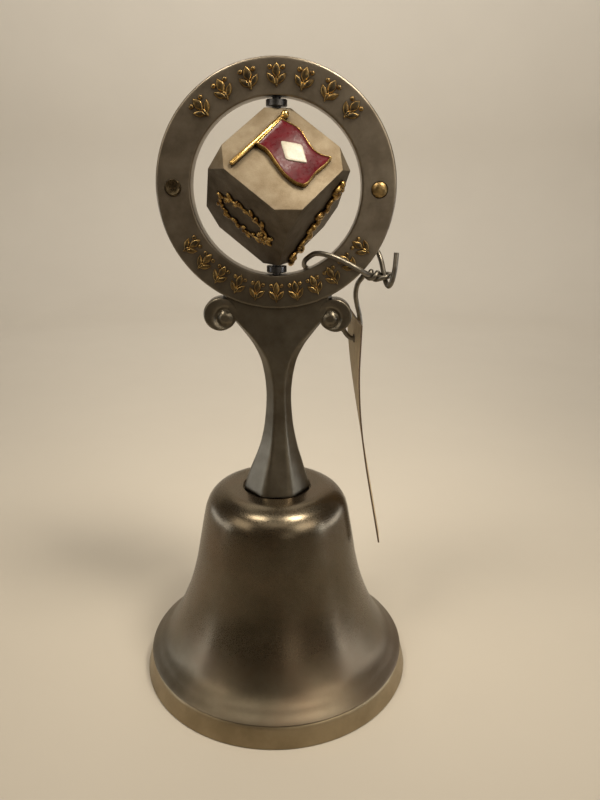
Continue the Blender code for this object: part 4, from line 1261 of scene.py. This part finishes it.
work = bmesh.new()
rows = [[work.verts.new(a.lerp(b, k / 10) * MM) for k in range(11)]
    for a, b in zip(smooth_path(LABEL_NEAR_EDGE, 14), smooth_path(LABEL_FAR_EDGE, 14))]
fill_rows(work, rows)
label = as_piece("blank_card_label", work, brown_card)
card = label.modifiers.new("card", "SOLIDIFY")
card.thickness = LABEL_THICKNESS * MM
card.offset = 0.0
punch_place = (
    Matrix.Translation(LABEL_HOLE * MM) @ LABEL_AXIS.to_track_quat("Z", "Y").to_matrix().to_4x4())
bore(label, LABEL_HOLE_RADIUS, -OVERCUT, OVERCUT, punch_place, steps=40)
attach(label, "tag")
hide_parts("paper_tag")


# ---- Floor, backdrop, lamps and camera ----
# The bell stands on a pale floor that curves up into a pale wall all round it. Two small warm
# boxes hang above it and two large ones stand lower at the front corners. Low cool panels and
# strips light its sides, broad dim ones its front and top, and one lamp the wall behind.

FLOOR_RADIUS = 450
WALL_RADIUS = 600
WALL_HEIGHT = 700
stage_paint, shader, place = new_finish("pale stage paint", (0.52, 0.468, 0.395), 0.9, 0.0)
feed(shader, "Base Color",
    blend_colours(cloud(place, 0.02, 3.0), (0.505, 0.453, 0.382), (0.535, 0.483, 0.408)))
bend = WALL_RADIUS - FLOOR_RADIUS
sweep = [(0.0, 0.0), (FLOOR_RADIUS / 2, 0.0)]
sweep += [(FLOOR_RADIUS + bend * math.sin(turn), bend * (1 - math.cos(turn)))
    for turn in (k * math.pi / 24 for k in range(13))]
sweep.append((WALL_RADIUS, WALL_HEIGHT))
stage = turn_piece("pale_stage", sweep, 96, stage_paint)

room = bpy.data.worlds.new("room")
room.use_nodes = True
room.node_tree.nodes["Background"].inputs["Color"].default_value = (1.0, 0.95, 0.88, 1.0)
room.node_tree.nodes["Background"].inputs["Strength"].default_value = 0.07
scene.world = room
scene.view_settings.view_transform = "Standard"


def hang_lamp(name, place, target, width, height, power, colour, spread_deg):
    """A soft box at a place, turned to a target, all in millimetres; it is not seen itself."""
    lamp = bpy.data.lights.new(name, "AREA")
    lamp.shape = "RECTANGLE"
    lamp.size, lamp.size_y = width * MM, height * MM
    lamp.energy = power
    lamp.color = colour
    lamp.spread = math.radians(spread_deg)
    light = bpy.data.objects.new(name, lamp)
    light.location = Vector(place) * MM
    light.rotation_mode = "QUATERNION"
    light.rotation_quaternion = (Vector(target) - Vector(place)).to_track_quat("-Z", "Y")
    light.visible_camera = False
    scene.collection.objects.link(light)


WARM = (1.0, 0.92, 0.78)
PLAIN = (1.0, 0.98, 0.93)
PALE = (0.86, 0.93, 1.0)
hang_lamp("left box", (-120, -100, 340), (0, 50, 20), 90, 90, 0.055, WARM, 62)
hang_lamp("right box", (130, -100, 340), (0, 50, 20), 90, 90, 0.120, WARM, 62)
hang_lamp("left side box", (-314, -204, 220), (0, 0, 20), 200, 160, 0.086, WARM, 110)
hang_lamp("right side box", (290, -262, 230), (0, 0, 20), 240, 160, 0.140, WARM, 110)
hang_lamp("left panel", (-330, 60, 42), (0, 0, 30), 300, 50, 0.022, PALE, 70)
hang_lamp("right panel", (330, 60, 42), (0, 0, 30), 300, 50, 0.031, PALE, 70)
hang_lamp("left strip", (-315, -75, 60), (0, 0, 20), 30, 110, 0.010, PALE, 90)
hang_lamp("right strip", (310, -95, 60), (0, 0, 20), 30, 110, 0.014, PALE, 90)
hang_lamp("front panel", (0, -420, 450), (0, 0, 10), 700, 180, 0.045, WARM, 60)
hang_lamp("low panel", (170, -480, 120), (10, 0, 90), 160, 160, 0.006, WARM, 60)
hang_lamp("ceiling panel", (0, 250, 550), (0, 0, 20), 500, 400, 0.320, WARM, 120)
hang_lamp("wall lamp", (0, 150, 520), (0, 600, 140), 500, 120, 1.85, PLAIN, 130)

CAMERA_PLACE = (4.9, -135.8, 106.7)
CAMERA_DOWN = 17.7
CAMERA_ROLL = 0.57
camera_data = bpy.data.cameras.new("camera")
camera_data.lens = 30.28
camera_data.sensor_width = 36.0
camera_data.clip_start = 0.005
camera = bpy.data.objects.new("camera", camera_data)
camera.location = Vector(CAMERA_PLACE) * MM
camera.rotation_euler = (Matrix.Rotation(math.radians(90 - CAMERA_DOWN), 3, "X")
    @ Matrix.Rotation(math.radians(CAMERA_ROLL), 3, "Z")).to_euler()
scene.collection.objects.link(camera)
scene.camera = camera
